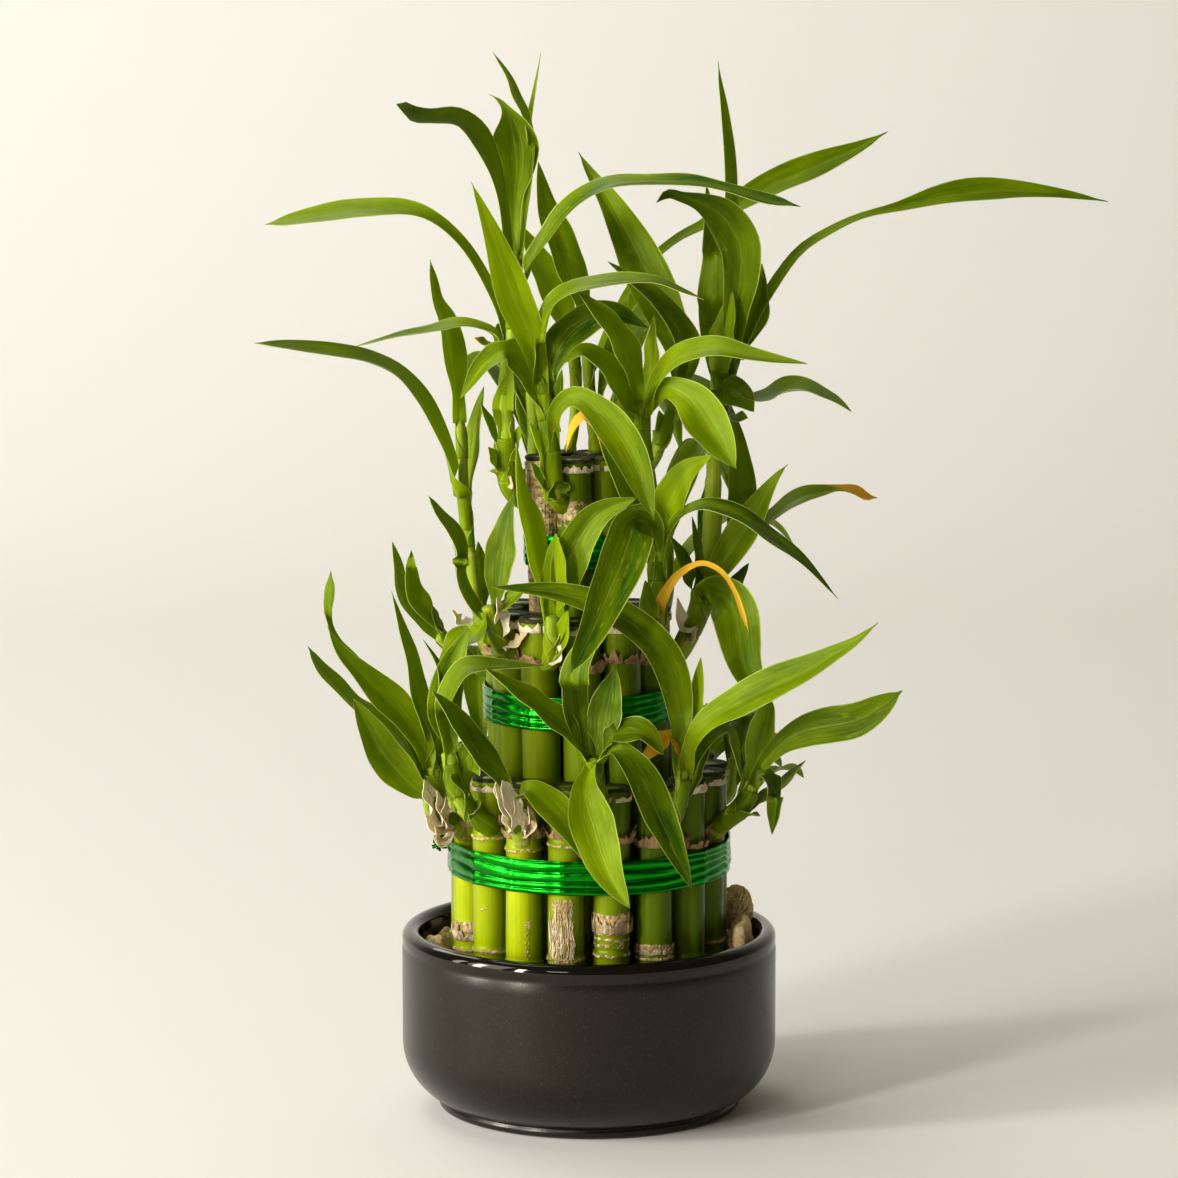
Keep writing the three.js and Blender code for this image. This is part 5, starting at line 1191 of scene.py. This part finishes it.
collars = {
    "outer_cane_14": (0.25, 61.5, 68.5, 811, 0.6, 0.75, 1.2, 6),
    "outer_cane_1": (0.2, 70.5, 77, 823, 0.45, 0.8, 0.6, 7),
    "outer_cane_2": (0.15, 62, 65, 829, 0.45, 0.6, 0.4, 6),
}


def scarAt(name, z, angle, share, own):
    deepest = 0.0
    for low, high, strength, patch in scars.get(name, []):
        inside = easeIn(z, low - 0.8, low + 0.8) * (1 - easeIn(z, high - 0.8, high + 0.8))
        if patch:
            facing = (math.degrees(angle) - patch[0] + 180) % 360 - 180
            inside *= 1 - easeIn(abs(facing), patch[1] * 0.6, patch[1])
        deepest = max(deepest, inside * strength * (0.85 + 0.35 * wander(share * 6, z * 0.3, own * 5)))
    return deepest


def addCane(piece, tier, index, name):
    draw = randomStream(101 + index * 17 + tier["count"])
    top = tier["top"] + draw(-2.5, 2.5)
    shift = draw(-2.5, 2.5)
    nodes = [z + shift for z in tier["nodes"]]
    tone, own = caneTonesAndPaintedLight[tier["name"]][index], draw()
    facing = caneAngle(tier, index)

    def axisAt(z):
        return caneAxis(tier, index, z)

    heights = list(np.linspace(caneShape["foot"], top - 0.5, caneShape["steps"]))
    heights += [z + d for z in nodes for d in (-2.2, -1.2, -0.7, -0.35, 0, 0.35, 0.7, 1.2, 2.2)]
    for low, high, strength, patch in scars.get(name, []):
        heights += list(np.linspace(low - 1, min(high + 1, top - 1), 14))
    rows, values = [], []
    for z in sorted(z for z in set(heights) if z < top - 0.4):
        ring, marks = [], []
        centre = axisAt(z)
        gap = min((z - node for node in nodes), key=abs)
        belly = 0.10 * math.sin(z * 0.09 + own * 9)
        ridge = caneShape["swell"] * math.exp(-(gap / 0.9) ** 2) - 0.16 * math.exp(-((gap - 1.9) / 0.7) ** 2)
        for i in range(caneShape["sides"]):
            share = 2 * i / caneShape["sides"] - 1
            angle = facing + math.pi * share
            out = outward(angle)
            ruffle = 0.05 * wander(share * 5, z * 0.35, own * 40)
            ringScar = math.exp(-((gap + 0.4 * wander(share * 4, own * 9)) / 0.75) ** 2)
            ringScar *= 0.75 + 0.5 * wander(share * 7, z, own)
            scar = max(ringScar, scarAt(name, z, angle, share, own))
            bark = 0.22 * scar * (0.5 + wander(share * 13, z * 1.1, own * 3))
            ring.append(centre + out * (tier["radius"] - 0.12 + belly + ridge + ruffle + bark))
            # painted shade: each cane is darker on its right side, away from the light, and a little on its
            # far left edge; every cane is also darker from 84 mm up
            paintedSideShade = 1 - 0.62 * easeIn(out[0], -0.25, 0.9) - 0.3 * easeIn(-out[0], 0.7, 1.0)
            marks.append([share, z / 100, tone * paintedSideShade * (1 - 0.3 * easeIn(z, 84, 97)), scar, own])
        rows.append(ring)
        values.append(marks)
    addSkin(piece, rows, values, "cane")

    # the cut top: wax over a papery edge
    wax = []
    profile = [(-0.05, -caneShape["waxDepth"]), (0.12, -0.7), (0.10, -0.1), (-0.3, 0.3), (-1.6, 0.1),
               (-4.0, -0.2)]
    for out, rise in profile:
        ring = []
        for angle in angles(caneShape["sides"]):
            s, c = math.sin(angle), math.cos(angle)
            drip = 0.6 * wander(s * 2, c * 2, own * 30) if rise < -0.5 else 0
            lump = 0.22 * wander(s * 3 + rise, c * 3, own * 50)
            ring.append(axisAt(top - 0.35 + rise + drip) + outward(angle) * (tier["radius"] + out + lump))
        wax.append(ring)
    addSkin(piece, wax, (0, 0, 0.3, 0, own), "wax")
    seed = 70 + index * 3 + tier["count"]
    addCollar(piece, axisAt, tier["radius"] + 0.1, top - 4.2, top - 1.0, seed, 0.8, 0.4, 0.35, 4)
    if tier["name"] != "inner":
        foot = nodes[-1] - 0.5 + collarLift.get(name, 0)
        seed = 400 + index * 7 + tier["count"]
        tone = (0.35 + 0.6 * draw()) * 0.18
        addCollar(piece, axisAt, tier["radius"] + 0.2, foot, foot + 5.2, seed, tone, 0.75, 2.4, 8)
    if name in collars:
        off, *torn = collars[name]
        addCollar(piece, axisAt, tier["radius"] + off, *torn)
    if name == looseFibres["cane"]:
        addFibres(piece, tier, index)


# Shoots at the back, by a rule: three leaves each, and two short ones nearer the cane. Held names leaves that
# are drawn in, by cane and leaf, with the share of their reach that is left
rearShoots = [
    {"tier": 0, "places": range(4, 13), "rise": 24, "reach": 60, "spread": 0.5,
     "held": {(4, 0): 0.75, (4, 1): 0.6, (4, 2): 0.4, (5, 0): 0.6, (5, 2): 0.5, (6, 2): 0.55, (10, 0): 0.45,
              (10, 1): 0.45, (11, 1): 0.55, (11, 2): 0.5, (12, 1): 0.5, (12, 2): 0.6}},
    {"tier": 1, "places": range(4, 7), "rise": 60, "reach": 78, "spread": 1,
     "held": {(4, 2): 0.6, (6, 1): 0.6, (6, 2): 0.6}},
    {"tier": 2, "places": range(2, 4), "rise": 58, "reach": 92, "spread": 1,
     "held": {(2, 2): 0.6, (3, 1): 0.6, (3, 2): 0.5}},
]
arch = [(0, 0), (0.25, 0.42), (0.55, 0.62), (0.85, 0.5), (1, 0.3)]
shortArch = [(0, 0), (3, 5), (5, 13), (6.5, 21)]


def turnedRound(v, axis, angle):
    c, s = math.cos(angle), math.sin(angle)
    return v * c + np.cross(axis, v) * s + axis * np.dot(axis, v) * (1 - c)


def addRearShoot(piece, group, tier, index):
    draw = randomStream(1511 + index * 31 + group["tier"] * 7)
    angle = caneAngle(tier, index)
    out, rearward = outward(angle), outward(math.pi + (angle - math.pi) * group["spread"])
    root = caneAxis(tier, index, tier["top"] - draw(18, 26))
    rise = group["rise"] * draw(0.75, 1.15)
    curve = smoothCurve([root + out * away + skyward * high
                         for away, high in ((0, 0), (9, 6), (13, rise * 0.4), (14, rise * 0.7), (15, rise))])
    addStem(piece, curve, 5.4, 4, index * 13 + 5)

    def addBent(points, way, width, tone, seed):
        addBlade(piece, smoothCurve(points), width, lambda along, centre: way, leaf((), (), 0, tone), seed)

    for k in range(3):
        start = pointAt(curve, 0.55 + 0.42 * k / 2)
        away = turnedRound(rearward, skyward, (1 if k % 2 else -1) * draw(0.12, 0.3) + draw(-0.1, 0.1))
        reach = group["reach"] * draw(0.7, 1.1) * group["held"].get((index, k), 1)
        climb = 0.55 + 0.6 * k / 3
        ahead, upward = away * reach * (1 - 0.45 * climb), skyward * reach * climb
        points = [start + ahead * far + upward * high for far, high in arch]
        way = turnedRound(np.cross(skyward, away), away, draw(-0.35, 0.35))
        addBent(points, way, draw(11, 14), 0.25 + 0.5 * ((index * 5 + k * 3) % 7) / 6, 3000 + index * 17 + k)
    for k in range(2):
        start = pointAt(curve, 0.3 + 0.3 * k)
        away = turnedRound(out, skyward, (1 if k else -1) * 0.5)
        points = [start + away * far + skyward * high for far, high in shortArch]
        addBent(points, np.cross(skyward, away), 7, 0.6, 5000 + index * 17 + k)


def nearestShare(curve, point):
    shares = np.linspace(0.2, 1, 60)
    return min(shares, key=lambda t: np.linalg.norm(pointAt(curve, t) - point))


def addShoot(piece, shoot):
    tier = tiers[shoot["tier"]]
    stem = [seen(*spot) for spot in np.reshape(shoot["stem"], (-1, 3))]
    stem.insert(0, caneAxis(tier, shoot["place"], stem[0][2] - 2.5))
    curve = smoothCurve(stem)
    addStem(piece, curve, shoot["thick"], shoot["thin"], shoot["place"] * 29 + shoot["tier"])

    def radiusAt(t):
        return mix(shoot["thick"], shoot["thin"], t) / 2 * (1 + stemShape["step"])

    for k, style in enumerate(shoot["leaves"]):
        path = np.reshape(style["path"], (-1, 2))
        shares, known = (np.linspace(0, 1, len(given)) for given in (path, style["depth"]))
        depths = np.interp(shares, known, style["depth"])
        points = [seen(px, py, depth) for (px, py), depth in zip(path, depths)]
        foot = nearestShare(curve, points[0])
        points[0] = pointAt(curve, foot)
        shown = style["shown"] * viewPoint["mmPerPixel"]
        width = max(style["wide"], shown)
        seed = 7000 + shoot["place"] * 97 + shoot["tier"] * 1009 + k * 13
        hug = None
        if not style["bare"] and style["look"] == "leaf":
            up = tangentAt(curve, foot)
            back = squareTo(points[1] - points[0], up)
            addSheath(piece, curve, radiusAt, foot, back, style["tone"], seed + 5)
            points[0] = points[0] + back * radiusAt(foot) * 0.9
            hug = {"way": np.cross(up, back), "half": radiusAt(foot) * 0.8}
        across = rolledAcross(math.acos(min(1, shown / width)))
        addBlade(piece, smoothCurve(points), width, across, style, seed, hug)


for t, tier in enumerate(tiers):
    for index in range(tier["count"]):
        name = f"{tier['name']}_cane_{index + 1}"
        piece = startPiece()
        addCane(piece, tier, index, name)
        for growth in shoots:
            if (growth["tier"], growth["place"]) == (t, index):
                addShoot(piece, growth)
        for group in rearShoots:
            if group["tier"] == t and index in group["places"]:
                addRearShoot(piece, group, tier, index)
        looks = ["cane", "wax", "paper", "stem", "leaf"]
        finishPiece(piece, f"{tier['name']}_plant_{index + 1}", looks, name)
    print("tier made:", tier["name"])


# The gathered end of the lowest ribbon, at its left: crumpled strips of foil
knot = {"middle": (-50.8, 3, 93.5), "strips": 9, "reach": 6.5, "width": 3.4, "bow": 1.6, "thickness": 0.24}


def addStrip(piece, line, width, seed):
    rows, values = [], []
    own = randomStream(seed)()
    for k, (point, along) in enumerate(zip(line, pathWays(line))):
        roll = own * 6 + 0.5 * k + 1.2 * wander(k * 0.6, own * 9)
        side = unit(np.cross(along, skyward * math.cos(roll) + lookAlong * math.sin(roll)))
        face = np.cross(side, along)
        upper, lower, marks = [], [], []
        for v in np.linspace(-1, 1, 7):
            dent = 0.7 * wander(v * 2.3, k * 0.7, own * 20)
            spot = point + side * v * width / 2 * (1 + 0.3 * wander(k * 0.9, v, own)) + face * dent
            upper.append(spot + face * knot["thickness"] / 2)
            lower.append(spot - face * knot["thickness"] / 2)
            marks.append([v * 0.4, k * 0.012, own, 0, own])
        rows.append(foldedBack(upper, lower))
        values.append(foldedBack(marks, marks))
    addSkin(piece, rows, values, "foil")


def addKnot(piece):
    draw = randomStream(977)
    heart = np.array(knot["middle"])
    for k in range(knot["strips"]):
        away = unit(np.array([draw(-1, 0.3), draw(-1, 0.6), draw(-1, 1)]))
        bow = unit(np.array([draw(-1, 1), draw(-1, 1), draw(-1, 1)])) * knot["bow"]
        reach = knot["reach"] * draw(0.7, 1.1)
        line = [heart + away * reach * (t - 0.25) + bow * math.sin(math.pi * t)
                for t in np.linspace(0, 1, 14)]
        addStrip(piece, line, knot["width"] * draw(0.6, 1.1), 31 + k)


for t, tier in enumerate(tiers):
    piece = bandPiece(t)
    if t == 0:
        addKnot(piece)
    finishPiece(piece, f"foil_{tier['name']}", ["foil"], f"ribbon_{tier['name']}")
print("ribbons made")

# Floor, light and camera, in metres
stage = {"colour": (0.80, 0.768, 0.705, 1), "stain": (0.72, 0.68, 0.61, 1), "staining": 0.06,
         "roughness": 0.9, "width": 12.0, "front": -9.0, "back": 2.0, "rise": 4.0, "bend": 0.9,
         "bendSteps": 12, "sunk": 0.0002}


def makeStage():
    paint = Paint("paleFloor", readsMesh=False)
    cloth = paint.specks(Size=3.0, Cover=0.5, Softness=0.45)
    colour = paint.blend(paint.times(cloth, stage["staining"]), stage["colour"], stage["stain"])
    # clear when looked at from behind, so that the wall doesn't block views from the back
    behind = paint.node("ShaderNodeNewGeometry").outputs["Backfacing"]
    clear = paint.node("ShaderNodeBsdfTransparent")
    material = paint.done(paint.surface(colour, stage["roughness"]), clear, behind)
    bend, flat = stage["bend"], stage["back"] - stage["bend"]
    line = [(stage["front"], 0.0), (flat, 0.0)]
    for k in range(1, stage["bendSteps"] + 1):
        angle = math.pi / 2 * k / stage["bendSteps"]
        line.append((flat + bend * math.sin(angle), bend * (1 - math.cos(angle))))
    line.append((stage["back"], stage["rise"]))
    half = stage["width"] / 2
    points = [(x, y, z) for y, z in line for x in (-half, half)]
    faces = [(2 * k, 2 * k + 1, 2 * k + 3, 2 * k + 2) for k in range(len(line) - 1)]
    mesh = bpy.data.meshes.new("floor")
    mesh.from_pydata(points, [], faces)
    mesh.materials.append(material)
    mesh.polygons.foreach_set("use_smooth", [True] * len(faces))
    floor = bpy.data.objects.new("floor", mesh)
    floor.location.z = -stage["sunk"]
    bpy.context.scene.collection.objects.link(floor)


def addArea(name, place, aim, size, power, colour):
    lamp = bpy.data.lights.new(name, "AREA")
    lamp.shape = "RECTANGLE"
    lamp.size, lamp.size_y = size
    lamp.energy = power
    lamp.color = colour
    holder = bpy.data.objects.new(name, lamp)
    holder.location = place
    holder.rotation_euler = (Vector(aim) - Vector(place)).to_track_quat("-Z", "Y").to_euler()
    bpy.context.scene.collection.objects.link(holder)


lights = {
    "window": {"place": (-2.1, -0.95, 1.0), "aim": (0, 0, 0.12), "size": (1.1, 1.7), "power": 26,
               "colour": (1, 1, 0.99)},
    "sidePane": {"place": (-1.5, -1.65, 0.62), "aim": (0, 0, 0.1), "size": (0.2, 1.2), "power": 36,
                 "colour": (1, 1, 0.97)},
    "nearPane": {"place": (-2.05, -0.72, 0.6), "aim": (0, 0, 0.1), "size": (0.24, 1.15), "power": 34,
                 "colour": (1, 1, 0.97)},
    "frontPane": {"place": (-0.75, -2.1, 1.1), "aim": (0, 0, 0.1), "size": (0.5, 0.35), "power": 5,
                  "colour": (1, 1, 0.97)},
    "farPane": {"place": (-2.0, -0.1, 0.6), "aim": (0, 0, 0.1), "size": (0.2, 1.1), "power": 5,
                "colour": (1, 1, 0.97)},
    "backdrop": {"place": (-0.7, 0.6, 2.4), "aim": (0.8, 1.5, 0), "size": (1.2, 1.2), "power": 13,
                 "colour": (0.84, 0.93, 1)},
    "rearGlow": {"place": (-0.9, 1.5, 1.7), "aim": (0, 0, 0.2), "size": (1.0, 0.8), "power": 10,
                 "colour": (1, 0.98, 0.94)},
}
sky = {"colour": (1.0, 0.86, 0.62, 1), "strength": 0.122}

makeStage()
for name, light in lights.items():
    addArea(name, **light)
world = bpy.data.worlds.new("softRoom")
world.use_nodes = True
background = world.node_tree.nodes["Background"]
background.inputs["Color"].default_value = sky["colour"]
background.inputs["Strength"].default_value = sky["strength"]
bpy.context.scene.world = world
bpy.context.scene.view_settings.view_transform = "Standard"

lens = bpy.data.cameras.new("photoView")
lens.sensor_width = 36
lens.lens = viewPoint["focal"] / (2 * viewPoint["middle"]) * lens.sensor_width
lens.clip_end = 50
camera = bpy.data.objects.new("photoView", lens)
camera.location = Vector(eye) * metresPerMm
camera.rotation_euler = Vector(lookAlong).to_track_quat("-Z", "Y").to_euler()
bpy.context.scene.collection.objects.link(camera)
bpy.context.scene.camera = camera
print("light and camera set")
